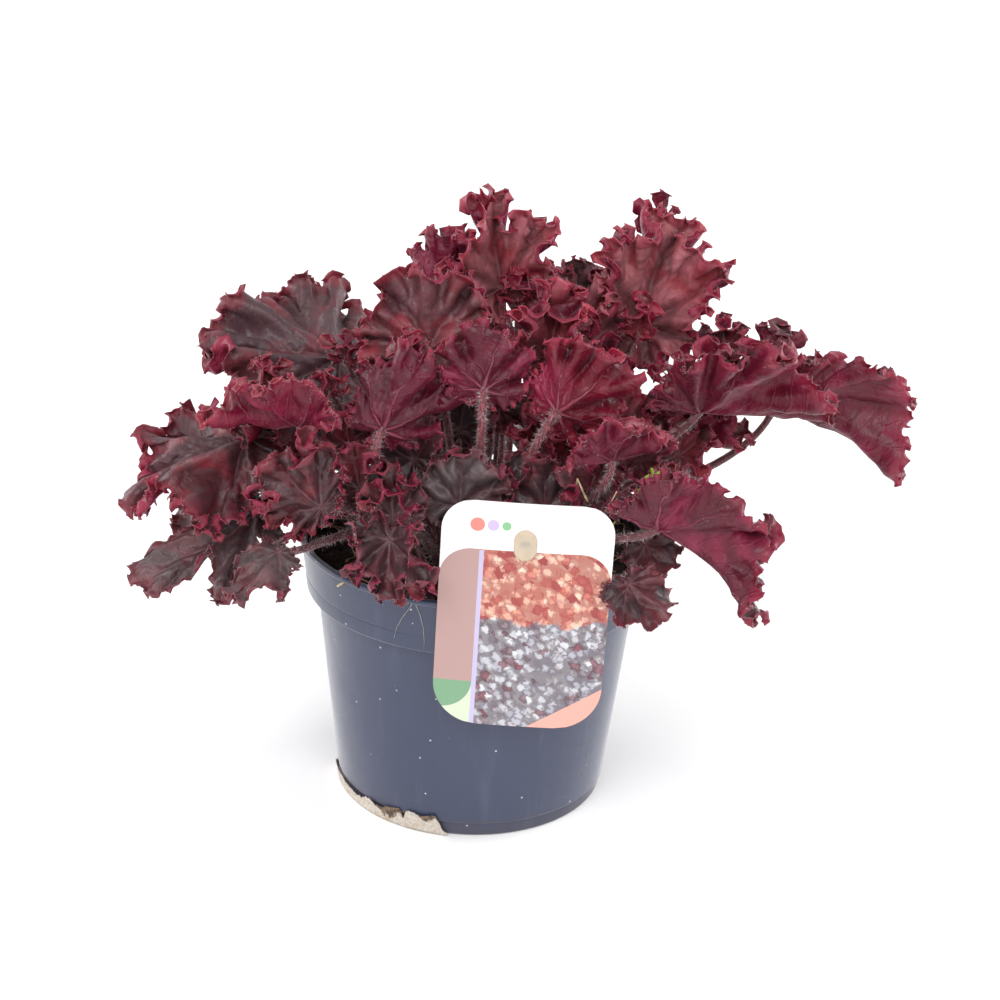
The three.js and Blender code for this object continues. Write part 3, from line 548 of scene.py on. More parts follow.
def around(layer, leaf, phi, share):
    """Points of a layer, and there the directions outwards, along the margin and off the upper side."""
    here = layer(leaf, phi, share)
    out = unit(layer(leaf, phi, share + 0.004) - here)
    up = unit(np.cross(out, layer(leaf, phi + 0.004, share) - here))
    return here, out, np.cross(up, out), up


def frill_phase(leaf, phi):
    """The frill is as fine on a small leaf as on a large one, so it goes by size in millimetres."""
    return TURN * FRILLS_PER_MM * leaf.size * (phi / SPAN + 1) / 2


def ruffled(leaf, phi, share):
    here, out, along, up = around(smooth_blade, leaf, phi, share)
    phase = TURN * leaf.waves * (phi / SPAN + 1) / 2 + 0.7 * np.sin(4 * phi + 3 * leaf.mood)
    near = outline(leaf, phi) / leaf.size
    rise = leaf.frill * unevenness(leaf, phi, 0.25, 0.2) * near * ease((share - 0.38) / 0.6)
    up_by = 2.3 * rise * np.cos(phase)
    along_by = 0.75 * rise * np.sin(2 * phase)
    return here + up * up_by[:, None] + along * along_by[:, None] + out * (-0.2 * up_by)[:, None]


# %% The third and fourth layers: flaps, and a fine crimp
WIDEST_FLAP, WIDEST_CRIMP = 5.4, 3.2


def rolled(layer, leaf, phi, share, width, turn, gather):
    """Rolls up what a layer has within `width` millimetres of the margin, more on frillier leaves."""
    margin = outline(leaf, phi)
    start = 1 - width / margin
    here, out, along, up = around(layer, leaf, phi, np.minimum(share, start))
    beyond = np.maximum(share - start, 0) * margin
    bent = np.minimum(beyond, 0.5 * width)
    turn = min((leaf.frill / 2) ** 1.6, 1.15) * turn
    curve = np.where(np.abs(turn) < 0.02, 0.02, turn) / (0.5 * width)
    lean = curve * bent
    far = np.sin(lean) / curve + (beyond - bent) * np.cos(lean)
    high = (1 - np.cos(lean)) / curve + (beyond - bent) * np.sin(lean)
    return here + out * far[:, None] + up * high[:, None] + along * (gather * beyond / width)[:, None]


def flapped(leaf, phi, share):
    phase = 2.8 * frill_phase(leaf, phi) + 1.3 * np.sin(5 * phi + leaf.mood) + 2 * leaf.mood
    behind = ease((np.abs(phi) - 1.7) / 0.9)
    wave = 1.05 * np.cos(phase + 0.4 * np.sin(phase)) + 0.45 * np.sin(0.27 * phase + 2.3 * leaf.mood)
    broad = 1 + 0.2 * np.sin(2.3 * phi + leaf.mood) + 0.4 * behind
    width = np.minimum(WIDEST_FLAP, 0.18 * outline(leaf, phi)) * broad
    return rolled(ruffled, leaf, phi, share, width, 0.95 + wave + 0.6 * behind, 1.4 * np.sin(2 * phase))


def crimped(leaf, phi, share):
    phase = 6.4 * frill_phase(leaf, phi) + 1.5 * np.sin(7 * phi + 2 * leaf.mood) + leaf.mood
    turn = 0.1 + 0.8 * np.cos(phase) + 0.5 * np.cos(0.41 * phase)
    width = np.minimum(WIDEST_CRIMP, 0.1 * outline(leaf, phi))
    return rolled(flapped, leaf, phi, share, width, turn, 0.5 * np.sin(2 * phase))


# %% A point of the blade
def teeth(leaf, phi, share):
    """How far scallops and the small teeth on them stand out at the margin."""
    count = 8 * frill_phase(leaf, phi) / TURN + 0.4 * np.sin(9 * phi + leaf.mood)
    point = 1 - np.abs(np.sin(math.pi * count))
    longer = 0.7 + 0.35 * np.sin(TURN * count * 0.37 + 2 * leaf.mood)
    scallop = np.abs(np.sin(math.pi * 0.29 * count + leaf.mood))
    return (1.2 * longer * (point - 0.4) + 1.7 * (scallop - 0.64)) * ease((share - 0.86) / 0.14)


def across_vein(x, y):
    """Distance in millimetres from the nearest of the seven main veins."""
    lobe = LOBES * np.arctan2(y, x) / TURN
    return np.hypot(x, y) * np.sin((lobe - np.round(lobe)) * TURN / LOBES)


def blade_points(leaf, phi, share, is_notch=False):
    """Points of the middle surface in the leaf's own frame, and where they lie on the flat blade."""
    margin = np.full_like(phi, leaf.size * NOTCH) if is_notch else outline(leaf, phi)
    flat = STALK_TOP + (margin - STALK_TOP) * share
    way = vein_way(leaf, phi, share)
    place = np.stack([flat * np.cos(way), flat * np.sin(way), share], -1)
    if is_notch:
        return np.stack([flat * np.cos(phi), flat * np.sin(phi), np.zeros_like(phi)], -1), place
    return crimped(leaf, phi, share + teeth(leaf, phi, share) / margin), place


# %% [markdown]
# ## A net of faces over the blade
# The ruffled margin needs a corner every half millimetre or so, but the same net carried in to the joint
# would crowd hundreds of corners round a stalk of three millimetres. So the net has four zones, and each
# has half as many columns as the next one out. Between zones, each side of the coarse ring meets two
# sides of the fine ring in three triangles.

# %% Rings of the net
ZONES = (  # every how many columns, and the rings' shares of the way to the margin
    (8, (0, 0.08, 0.18, 0.3)),
    (4, (0.42, 0.54, 0.64)),
    (2, (0.72, 0.78, 0.83)),
    (1, (0.875, 0.905, 0.935, 0.96, 0.98, 1)),
)
NOTCH_COLUMNS = 16
COLUMNS_PER_MM, COLUMNS_BEHIND = 10.0, 8.0  # of the blade's size, in front and behind
BEHIND_Y = 25


def net_faces(first_a, count_a, first_b, count_b):
    """Triangles between an inner ring and an outer ring with as many corners, or twice as many."""
    k = np.arange(count_a)
    a, a_next = first_a + k, first_a + (k + 1) % count_a
    if count_a == count_b:
        b, b_next = first_b + k, first_b + (k + 1) % count_b
        parts = [(a, b, b_next), (a, b_next, a_next)]
    else:
        b, middle, b_next = first_b + 2 * k, first_b + 2 * k + 1, first_b + (2 * k + 2) % count_b
        parts = [(a, b, middle), (a, middle, a_next), (a_next, middle, b_next)]
    return np.concatenate([np.stack(part, -1) for part in parts])


def blade_net(leaf):
    """Points, places on the flat blade, faces, and the first corner and length of the last ring."""
    fineness = COLUMNS_BEHIND if leaf.joint[1] > BEHIND_Y else COLUMNS_PER_MM
    columns = 8 * round(fineness * leaf.size / 8)
    k = np.arange(columns)
    last = columns - NOTCH_COLUMNS
    phi = np.where(k <= last, -SPAN + 2 * SPAN * k / last, np.where(k <= columns - 8, SPAN, -SPAN))
    into_notch = np.clip(1 - np.abs(k - (columns - 8)) / 8, 0, 1)[:, None]
    points, flats, faces = [], [], []
    first, previous = 0, None
    for step, shares in ZONES:
        for share in shares:
            here, blend = phi[::step], into_notch[::step]
            level = np.full_like(here, share)
            point, flat = blade_points(leaf, here, level)
            notch, notch_flat = blade_points(leaf, np.full_like(here, math.pi), level, True)
            points.append(point * (1 - blend) + notch * blend)
            flats.append(flat * (1 - blend) + notch_flat * blend)
            if previous is not None:
                faces.append(net_faces(*previous, first, len(here)))
            previous = (first, len(here))
            first += len(here)
    inner = np.arange(columns // 8)
    faces.append(np.stack([np.full(len(inner), first), inner, np.roll(inner, -1)], -1))
    points.append(points[0].mean(0, keepdims=True))
    flats.append(np.zeros((1, 3)))
    return np.concatenate(points), np.concatenate(flats), np.concatenate(faces), previous


def corner_normals(points, faces):
    """The direction that each corner of a net faces."""
    a, b, c = (points[faces[:, i]] for i in range(3))
    face_normals = np.cross(b - a, c - a)
    sums = [np.bincount(faces.ravel(), np.repeat(face_normals[:, i], 3), len(points)) for i in range(3)]
    return unit(np.stack(sums, -1))


test_points, _, test_faces, _ = blade_net(LEAVES["top"])
print("A net of", len(test_points), "corners and", len(test_faces), "triangles for the top leaf")

# %% [markdown]
# ## The finish of a blade's upper side
# The upper side is a satin, greyish brown-red, smoother and darker on old leaves. Its main veins lie in
# grooves, and side veins leave them like the bones of a herring, with the tissue puckered up between.
# A painted texture could show this, but every leaf would have to be unwrapped for it. The finish works the
# veins out from each point's place on the flat blade instead, so they follow every ruffle.

# %% Veins, worked out from the place on the flat blade
SIDE_VEIN_GAP = 7.5  # along a main vein, in millimetres


def vein_masks(finish, main_width):
    """Masks of main and side veins, the share from joint to margin, and distances from the veins."""
    x, y, share = finish.parts(finish.fact("flat"))
    spot = finish.join(x, y, finish.fact("own", "Fac") * 40.0)
    wander = finish.clouds(spot, 13) - 0.5
    reach = (x * x + y * y).square_root()
    lobe = (wander * 0.22 + y.angle_from(x)) * (LOBES / TURN)
    aside = (lobe - lobe.rounded()) * (TURN / LOBES)
    across = abs(reach * aside.sine())
    main = 1.0 - (across / (share * (-0.7 * main_width) + main_width)).rise(0.35, 1.0)
    slant = wander * 5.0 + (across * -1.15 + reach * aside.cosine())
    tooth = (slant * (1 / SIDE_VEIN_GAP) + aside.sign() * 0.25).fraction()
    off = abs(tooth - 0.5) * (SIDE_VEIN_GAP * 0.66)
    return main, 1.0 - off.rise(0.12, 0.42), share, across, off, spot


# %% The upper side
def blade_finish(name, **constants):
    """What both sides share: a little light comes through them, and fine fuzz lies on them."""
    return Finish(
        name, subsurface_weight=0.15, subsurface_scale=0.002, subsurface_radius=(1.0, 0.2, 0.25),
        sheen_weight=0.08, sheen_roughness=0.4, **constants,
    )


def upper_finish():
    finish = blade_finish("blade_upper", sheen_tint=(214, 190, 204), specular_ior_level=0.36)
    main, side, share, across, off, spot = vein_masks(finish, 0.8)
    age, where = finish.fact("age", "Fac"), finish.where()
    body = finish.ramp(
        age, (0, 152, 40, 56), (0.35, 184, 112, 118), (0.62, 74, 30, 36),
        (0.85, 80, 56, 60), (0.92, 66, 48, 52), (1, 92, 78, 80),
    )
    # the colour of the painted sheen on the crests
    pale = finish.ramp(
        age, (0, 176, 74, 98), (0.35, 208, 132, 146), (0.6, 100, 48, 56), (0.9, 92, 72, 76), (1, 106, 88, 92)
    )
    patches = finish.clouds(where, 12, 3, 0.6).rise(0.36, 0.68)
    fresh = finish.clouds(where, 17, 2).rise(0.46, 0.66) * (age * -0.55 + 0.7)
    # painted sheen: paler crests between the veins, stronger on young leaves
    painted_sheen = finish.clouds(where, 11, 2).rise(0.44, 0.66) * across.rise(1.0, 5.0) * (age * -0.55 + 0.8)
    edge = (share + finish.clouds(where, 5, 2) * 0.2).rise(0.9, 1.12) * (age * -0.7 + 0.92)
    tone = finish.over(
        finish.blend(patches, finish.blend(0.45, body, (44, 22, 27)), body),
        # painted sheen: greyer clouds
        (finish.clouds(where, 26, 1).rise(0.42, 0.7) * 0.18, (104, 84, 94)),  # greyer clouds
        (fresh, (174, 48, 64)),
        # painted sheen on the crests
        (painted_sheen, pale),  # the crests between the veins
        # painted shade in the grooves along the main veins
        ((1.0 - across.rise(0.0, 3.6)) * 0.5, (52, 22, 28)),  # the grooves
        (main * share.rise(0.8, 0.1) * 0.18, (170, 112, 122)),
        # painted shade along the side veins
        (side * 0.1, (48, 20, 26)),
        (edge, (148, 34, 60)),
    )
    puckers = finish.clouds(spot, 4.5, 4, 0.6) * 1.1
    height = off.rise(0.0, 2.3) * 0.45 + across.rise(0.0, 4.5) + puckers
    roughness = finish.clouds(where, 1.5, 3) * 0.22 + 0.25
    return finish.set(base_color=tone, roughness=roughness, normal=finish.relief(height, 1.0))


# %% [markdown]
# The underside is another colour altogether: wine red to magenta, with paler veins that stand out as
# ribs, and a bloom of very short pale hairs that shows as fine specks.

# %% The underside
def under_finish():
    finish = blade_finish("blade_under", sheen_tint=(240, 170, 200), specular_ior_level=0.35)
    main, side, share, across, off, spot = vein_masks(finish, 0.7)
    age, where = finish.fact("age", "Fac"), finish.where()
    body = finish.ramp(
        age, (0, 114, 9, 36), (0.2, 86, 14, 38), (0.4, 116, 16, 46),
        (0.82, 110, 18, 44), (0.9, 94, 27, 44), (1, 80, 46, 54),
    )
    patches = finish.clouds(where, 12, 3, 0.6).rise(0.35, 0.7)
    tone = finish.over(
        finish.blend(patches, finish.blend(0.5, body, (52, 8, 20)), body),
        (finish.clouds(where, 20, 2).rise(0.5, 0.75) * 0.35, (172, 44, 88)),  # pinker clouds
        (share.rise(0.84, 0.97) * 0.5, (152, 44, 70)),  # the margin
        (main * 0.26, (180, 88, 110)),
        (side * 0.05, (170, 76, 100)),
        ((1.0 - finish.cells(where, 1.1).rise(0.08, 0.2)) * 0.15, (226, 160, 180)),  # the specks
    )
    dents = finish.clouds(spot, 4.5, 4, 0.6) * 1.3 + finish.clouds(spot, 10, 2) * 2.6
    roughness = finish.clouds(where, 1.5, 3) * 0.22 + 0.27
    normal = finish.relief(main + side * 0.22 + dents, 1.0)
    return finish.set(base_color=tone, roughness=roughness, normal=normal)


# %% [markdown]
# Stalks are a dull brown-red with darker streaks, and their hairs are long and almost white. Against the
# dark leaves the hairs catch the light first, so they are real cones and not a trick of the shader.

# %% Stalks and hairs
def stalk_finish():
    finish = Finish("stalk_skin", sheen_weight=0.2, sheen_roughness=0.5, roughness=0.5)
    streaks = finish.clouds(finish.where(1.6, 1.6, 0.22), 1.2, 2)
    body = finish.ramp(finish.fact("age", "Fac"), (0, 150, 60, 76), (1, 104, 58, 62))
    tone = finish.blend(streaks.rise(0.35, 0.7), (74, 30, 38), body)
    return finish.set(base_color=tone, normal=finish.relief(streaks, 0.15))


HAIR = drifting("leaf_hair", 6, 2, (226, 190, 194), (250, 234, 232), roughness=0.55, sheen_weight=0.3)
LEAF_FINISHES = [upper_finish(), under_finish(), stalk_finish(), HAIR.material]
print("Leaf finishes:", *[finish.name for finish in LEAF_FINISHES])

# %% [markdown]
# ## Stalks
# Each stalk comes up nearly straight out of the soil and then bends over to meet its blade from below.
# A Bezier curve does just that: its two handles keep the first direction near the root and the last one
# near the blade. The curve is the same as in CAD, with more and rounder steps.

# %% The stalk's line
SOIL_LEVEL = 120
STRAIGHT = 14  # length of the straight stretch above the root
ROOT_DEPTH = 9
FREE_STRAIGHT, FREE_DEPTH = 3, 6.0  # the same for a leaf outside the rings


def leaf_axes(leaf):
    """Rows: along the middle vein, to its left, and off the upper side."""
    x = unit(leaf.aim)
    z = unit(np.array(leaf.face, float) - np.dot(leaf.face, x) * x)
    return np.stack([x, np.cross(z, x), z])


def root_of(leaf):
    """The stalk's lower end, and the direction in which it rises."""
    if leaf.ring == "free":
        foot = np.array([*leaf.spot, SOIL_LEVEL - FREE_DEPTH])
        out = foot * (1, 1, 0) / np.hypot(*leaf.spot)
    else:
        radius, places = ROOT_RINGS[leaf.ring]
        angle = TURN * leaf.spot / places
        out = np.array([math.cos(angle), math.sin(angle), 0])
        foot = out * radius + (0, 0, SOIL_LEVEL - ROOT_DEPTH)
    return foot, unit(out * 0.25 + (0, 0, 1))


def stalk_line(leaf, steps=26):
    axes = leaf_axes(leaf)
    joint = np.array(leaf.joint, float)
    foot, rise = root_of(leaf)
    neck = foot + rise * (FREE_STRAIGHT if leaf.ring == "free" else STRAIGHT)
    length = np.linalg.norm(joint - neck)
    arrive = unit(0.8 * axes[2] + 0.6 * axes[0])
    low = neck + rise * 0.35 * length + leaf.sway
    high = joint - arrive * 0.22 * length + leaf.sway
    t = np.linspace(0, 1, steps)[:, None]
    bow = (1 - t) ** 3 * neck + 3 * (1 - t) ** 2 * t * low + 3 * (1 - t) * t * t * high + t**3 * joint
    return np.concatenate([[foot, (foot + neck) / 2], bow])


top_steps = np.diff(stalk_line(LEAVES["top"]), axis=0)
print("The top leaf's stalk is", round(float(np.linalg.norm(top_steps, axis=1).sum())), "mm long")

# %% [markdown]
# ## Putting a leaf together
# The blade's net becomes a thin solid: the upper side is the net moved up a little, the underside the net
# moved down, further along the main veins, where it has ribs. A Solidify modifier would give one even
# thickness. Stalk, hairs on the stalk, along the margin and on the ribs join it in one piece, so that a
# leaf can be picked up, hidden or moved as one thing.

# %% The blade's solid
HALF_AT_JOINT, HALF_AT_MARGIN = 0.36, 0.18  # half the blade's thickness


def blade_solid(net, flats, normals, faces, last, count):
    """Corners of both sides in the leaf's own frame, and the faces above, below and around."""
    share = flats[:, 2]
    half = HALF_AT_JOINT - (HALF_AT_JOINT - HALF_AT_MARGIN) * ease(share)
    across = across_vein(flats[:, 0], flats[:, 1])
    rib = (0.1 + 0.8 * (1 - share) ** 1.5) * np.exp(-((across / 0.75) ** 2))
    upper = net + normals * half[:, None]
    lower = net - normals * (half + rib)[:, None]
    size = len(net)
    a = last + np.arange(count)
    b = last + (np.arange(count) + 1) % count
    rim = np.concatenate([np.stack([a, a + size, b + size], -1), np.stack([a, b + size, b], -1)])
    return np.concatenate([upper, lower]), [faces, faces[:, ::-1] + size, rim]


# %% The hairs of a leaf
HAIRS_PER_MM = 5.5  # of the stalk
MOST_ON_RIBS = 130
ON_STALK, ON_MARGIN, ON_RIBS = (1.3, 3.2), (0.6, 1.6), (0.7, 1.7)  # shortest and longest
HAIR_RADIUS = 0.045


def leaf_hairs(chance, line, radii, net, flats, normals, last, count):
    """Roots, directions and lengths of the hairs on one leaf, in the plant's frame."""
    above = line[:, 2] > SOIL_LEVEL + 4
    lengths = np.linalg.norm(np.diff(line, axis=0), axis=1)
    number = int(HAIRS_PER_MM * lengths[above[1:]].sum())
    t = chance.uniform(np.argmax(above), len(line) - 1.2, number)
    k = t.astype(int)
    spot = line[k] + (line[k + 1] - line[k]) * (t - k)[:, None]
    way = unit(line[k + 1] - line[k])
    out = unit(np.cross(way, chance.normal(size=(number, 3))))
    roots = [spot + out * (radii[k] * 0.95)[:, None]]
    ways = [out + 0.25 * chance.normal(size=(number, 3)) - 0.15 * way]
    sizes = [chance.uniform(*ON_STALK, number)]
    margin, inside = net[last:last + count], net[last - count:last]
    fuzz = chance.random(count) < 0.85
    roots.append(margin[fuzz])
    ways.append(unit(margin - inside)[fuzz] + 0.5 * chance.normal(size=(fuzz.sum(), 3)))
    sizes.append(chance.uniform(*ON_MARGIN, fuzz.sum()))
    ribs = np.flatnonzero((np.abs(across_vein(flats[:, 0], flats[:, 1])) < 0.8) & (flats[:, 2] > 0.05))
    ribs = chance.choice(ribs, min(len(ribs), MOST_ON_RIBS), replace=False)
    roots.append(net[ribs] - normals[ribs] * 0.6)
    ways.append(-normals[ribs] + 0.6 * chance.normal(size=(len(ribs), 3)))
    sizes.append(chance.uniform(*ON_RIBS, len(ribs)))
    return np.concatenate(roots), np.concatenate(ways), np.concatenate(sizes)


# %% A leaf's piece
WHICH_FINISH = [0, 1, 0, 2, 2, 3]  # above, below, margin, the stalk's walls and caps, hairs
STALK_SIDES = 10
FREE_STALK = 0.62  # thickness of a free leaf's stalk, as a share of the others'
FIRST_SEED = 100


def build_leaf(name, leaf, seed, replaces=()):
    axes = leaf_axes(leaf)
    net, flats, faces, edge = blade_net(leaf)
    normals = corner_normals(net, faces)
    blade, blade_faces = blade_solid(net, flats, normals, faces, *edge)
    line = stalk_line(leaf)
    shares = np.linspace(0, 1, len(line))
    radii = 2.3 - 0.75 * shares + 0.35 * ease((shares - 0.93) / 0.07)
    if leaf.ring == "free":
        radii = radii * FREE_STALK
    stalk, walls, caps = tube(line, radii, STALK_SIDES, ridges=0.05)
    chance = np.random.default_rng(seed)
    spots = leaf_hairs(chance, line, radii, net @ axes + leaf.joint, flats, normals @ axes, *edge)
    hairs, cones = bristles(*spots, HAIR_RADIUS)
    at_stalk, at_hair = len(blade), len(blade) + len(stalk)
    points = np.concatenate([blade @ axes + leaf.joint, stalk, hairs])
    faces = [*blade_faces, walls + at_stalk, caps + at_stalk, cones + at_hair]
    flat = np.concatenate([flats, flats, np.zeros((len(stalk) + len(hairs), 3))])
    age, own = np.full(len(points), leaf.age), np.full(len(points), leaf.mood)
    make_piece(
        name, points, faces, LEAF_FINISHES, "leaf", replaces, WHICH_FINISH, flat=flat, age=age, own=own
    )


for number, (name, leaf) in enumerate(LEAVES.items()):
    build_leaf("plant_leaf_" + name, leaf, FIRST_SEED + number, (f"leaf_{name}",))
print("Leaves:", len(LEAVES), "with", sum(triangles_made.values()), "triangles")

# %% [markdown]
# ## The pot
# A nursery pot is blow-moulded or injection-moulded from thin recycled plastic: a tapered body, a wider
# collar that other pots can stack in, a rolled bead round the top, and a foot with drain holes. All of it
# is one profile turned round an axis. The corners of the profile are rounded first, because a mould never
# has a sharp one, and it is the rounded corners that catch a line of light.

# %% The pot's profile
COLLAR_FOOT_Z = 102
FOOT_RADIUS, COLLAR_FOOT_RADIUS = 64.8, 76


def body_radius(z):
    """Outer radius of the tapered body."""
    return FOOT_RADIUS + (COLLAR_FOOT_RADIUS - FOOT_RADIUS) * np.asarray(z) / COLLAR_FOOT_Z


def rounded(profile, steps=4):
    """Replaces each corner (radius, height, rounding) by a short curve."""
    points = []
    for k, (r, z, rounding) in enumerate(profile):
        here = np.array([r, z], float)
        if rounding == 0 or k in (0, len(profile) - 1):
            points.append(here)
            continue
        before, after = (np.array(profile[k + way][:2], float) for way in (-1, 1))
        reach = min(rounding, np.linalg.norm(before - here) / 2.1, np.linalg.norm(after - here) / 2.1)
        start, end = here + unit(before - here) * reach, here + unit(after - here) * reach
        for t in np.linspace(0, 1, steps + 1):
            points.append((1 - t) ** 2 * start + 2 * (1 - t) * t * here + t * t * end)
    return np.array(points)


def turned(profile, sides):
    """Corners, walls and caps of a turned solid, from a profile that starts and ends on the axis."""
    ring = TURN * np.arange(sides) / sides
    r, z = profile[1:-1, :1], profile[1:-1, 1:]
    rings = np.stack([r * np.cos(ring), r * np.sin(ring), z + 0 * ring], -1).reshape(-1, 3)
    poles = [[0, 0, profile[0, 1]], [0, 0, profile[-1, 1]]]
    return np.concatenate([rings, poles]), *shell(sides, len(profile) - 2)


OUTSIDE = [
    (0, 0, 0), (44, 0, 0.5), (45, 3, 0.5), (60, 3, 0.5), (61, 0, 0.4), (63, 0, 0.4), (64, 1, 0.6),
    (64, 7, 0.3), (float(body_radius(7.8)), 7.8, 0.5), (float(body_radius(60)), 60, 0.5), (76, 102, 0.5),
    (81, 103, 0.9), (81.7, 110.4, 0.2), (81.45, 110.7, 0.2), (81.8, 111.1, 0.2),
    (83.5, 127, 0.3), (85, 127.8, 0.6), (85, 129.4, 0.7), (84.4, 130, 0.5),
]
INSIDE = [
    (82.1, 130, 0.6), (79.5, 104.5, 1.2), (74.5, 103, 1.2), (float(body_radius(9)) - 1.5, 9, 1.5),
    (61, 4.5, 0.5), (43, 4.5, 0.5), (42, 1.5, 0.5), (0, 1.5, 0),
]
POT_PROFILE = rounded(OUTSIDE + INSIDE)
print("The pot's profile has", len(POT_PROFILE), "points")

# %% [markdown]
# Plastic of this kind is a dull blue-grey with a satin skin. What makes it look used is small: pale and
# dark specks, a few scuffs round the pot and a brown line of dirt that
# splashes up from the ground and gathers above the foot.

# %% The pot's finish
def pot_finish():
    finish = Finish(
        "pot_plastic", specular_ior_level=0.55,
        sheen_weight=1.0, sheen_roughness=0.28, sheen_tint=(250, 250, 253),
    )
    where = finish.where()
    x, _, z = finish.parts(where)
    smears = finish.clouds(finish.where(1, 1, 0.12), 9, 3, 0.6).rise(0.5, 0.8)
    pale = (finish.cells(where, 6.5) < 0.07) * finish.clouds(where, 15, 2).rise(0.44, 0.52)
    dark = (finish.cells(where, 5.2) < 0.15) * (x + finish.clouds(where, 12) * 30).rise(40, 75)
    scuffs = finish.clouds(finish.where(0.18, 0.18, 1), 0.9, 2, 0.6).rise(0.72, 0.8)
    splash = 1.0 - (finish.clouds(where, 5, 4, 0.7) * -16 + z).rise(-6, 3)
    line = (1.0 - abs(z - 8.0).rise(0.2, 1.1)) * finish.clouds(where, 7, 3).rise(0.42, 0.6)
    dirt = (splash * 0.28).at_least(line * 0.55)
    tone = finish.over(
        finish.blend(finish.clouds(where, 60, 2), (50, 56, 80), (60, 66, 90)),
        (smears * 0.2, (104, 108, 126)),
        (pale, (196, 194, 196)),
        (dark, (48, 40, 38)),
        (scuffs * 0.12, (170, 170, 178)),
        (dirt, (84, 72, 62)),
    )
    roughness = dirt * 0.4 + (finish.clouds(where, 4, 3) * 0.14 + 0.34)
    swell = finish.relief(finish.clouds(where, 26, 1), 0.35)
    grain = finish.relief(finish.clouds(where, 0.9, 2), 0.02, Normal=swell)
    return finish.set(base_color=tone, roughness=roughness, normal=grain)


# %% [markdown]
# The drain holes could be left out, as nobody sees them from in front, but a pot is picked up and turned
# over. They are cut with a Boolean modifier by eight short cylinders joined in one mesh, and the modifier
# is then applied, so that the piece is a plain mesh again.

# %% The drain holes
def cut_away(piece, cutter):
    """Subtracts the cutter from the piece for good."""
    modifier = piece.modifiers.new("cut", "BOOLEAN")
    modifier.object = cutter
    modifier.operation = "DIFFERENCE"
    modifier.solver = "EXACT"
    bpy.context.view_layer.update()
    ready = piece.evaluated_get(bpy.context.evaluated_depsgraph_get())
    mesh = bpy.data.meshes.new_from_object(ready)
    piece.modifiers.clear()
    piece.data = mesh
    bpy.data.objects.remove(cutter)


def hole_cutter(number, ring_radius, radius):
    corners, faces = [], []
    for angle in TURN * np.arange(number) / number:
        middle = np.array([ring_radius * math.cos(angle), ring_radius * math.sin(angle), 0])
        ring, walls, caps = tube([middle + (0, 0, -3), middle + (0, 0, 9)], (radius, radius), 24)
        faces += (walls + len(corners)).tolist() + (caps + len(corners)).tolist()
        corners += (ring * MM).tolist()
    mesh = bpy.data.meshes.new("hole_cutter")
    mesh.from_pydata(corners, [], faces)
    return show("hole_cutter", mesh)


# %% The pot's piece
points, *faces = turned(POT_PROFILE, sides=160)
pot = make_piece("nursery_pot", points, faces, [pot_finish()], "pot", ("pot",))
cut_away(pot, hole_cutter(number=8, ring_radius=52.5, radius=4.5))
pot.data.set_sharp_from_angle(angle=math.radians(50))
triangles_made[pot.name] = sum(len(polygon.vertices) - 2 for polygon in pot.data.polygons)
print("The pot has", triangles_made["nursery_pot"], "triangles")

# %% [markdown]
# ## The soil
# Potting soil is peat, bark crumbs and grit. Its top is a low mound with clods, made of rings of corners
# that noise pushes up and down. Crumbs lie loose on it, so that the surface breaks up at its edges, and
# brown root fibres run through it.

# %% The lie of the soil
def soil_height(x, y):
    """The mound and clods of the CAD model."""
    far = np.hypot(x, y) / 83.6
    clods = np.sin(0.21 * x + 1.3) * np.cos(0.17 * y - 0.6) + 0.6 * np.sin(0.39 * x - 0.31 * y + 2)
    return SOIL_LEVEL + 3 * (1 - far**2) + 1.5 * clods


def rough(x, y, size, seed):
    """A finer roughness, with lumps of about `size` millimetres."""
    return np.array([noise.fractal(Vector((a / size, b / size, seed)), 0.8, 2.1, 4) for a, b in zip(x, y)])


def soil_finish():
    finish = Finish("potting_soil", roughness=0.95, specular_ior_level=0.2)
    where = finish.where()
    peat = finish.clouds(where, 2.2, 4, 0.7)
    tone = finish.ramp(peat, (0.32, 22, 18, 18), (0.55, 48, 38, 36), (0.72, 84, 64, 52))
    bits = (finish.cells(where, 2.6) < 0.16) * 0.5
    normal = finish.relief(finish.clouds(where, 1.1, 4, 0.7), 0.9)
    return finish.set(base_color=finish.blend(bits, tone, (118, 92, 70)), normal=normal)


SOIL_FINISH = soil_finish()
print("The soil is", round(float(soil_height(0, 0)), 1), "mm up in the middle")

# %% The body of soil
SOIL_SIDES = 150
SOIL_TOP_ROWS = 46
SOIL_RADIUS = 80.85
SOIL_SIDE = [  # radius and height, from the bottom up
    (41.2, 1.9), (42.2, 4.9), (60.6, 4.9), (float(body_radius(9)) - 2.2, 9.5),
    (74.0, 103.4), (79.0, 105.2), (80.6, 116),
]


def build_soil():
    ring = TURN * np.arange(SOIL_SIDES) / SOIL_SIDES
    rows = [(r, np.full(SOIL_SIDES, z)) for r, z in SOIL_SIDE]
    for r in SOIL_RADIUS * np.linspace(1, 0.03, SOIL_TOP_ROWS):
        x, y = r * np.cos(ring), r * np.sin(ring)
        lumps = rough(x, y, 7, 1.5) * 1.5 + rough(x, y, 2.4, 8.5) * 0.7
        rows.append((r, soil_height(x, y) + 0.5 + np.clip(lumps, -1.2, 2.2)))
    points = [np.stack([r * np.cos(ring), r * np.sin(ring), z], -1) for r, z in rows]
    points += [[[0, 0, 1.9]], [[0, 0, float(rows[-1][1].mean())]]]
    faces = shell(SOIL_SIDES, len(rows))
    make_piece("soil_bed", np.concatenate(points), faces, [SOIL_FINISH], "soil", ("soil",))


build_soil()
print("The bed of soil has", triangles_made["soil_bed"], "triangles")

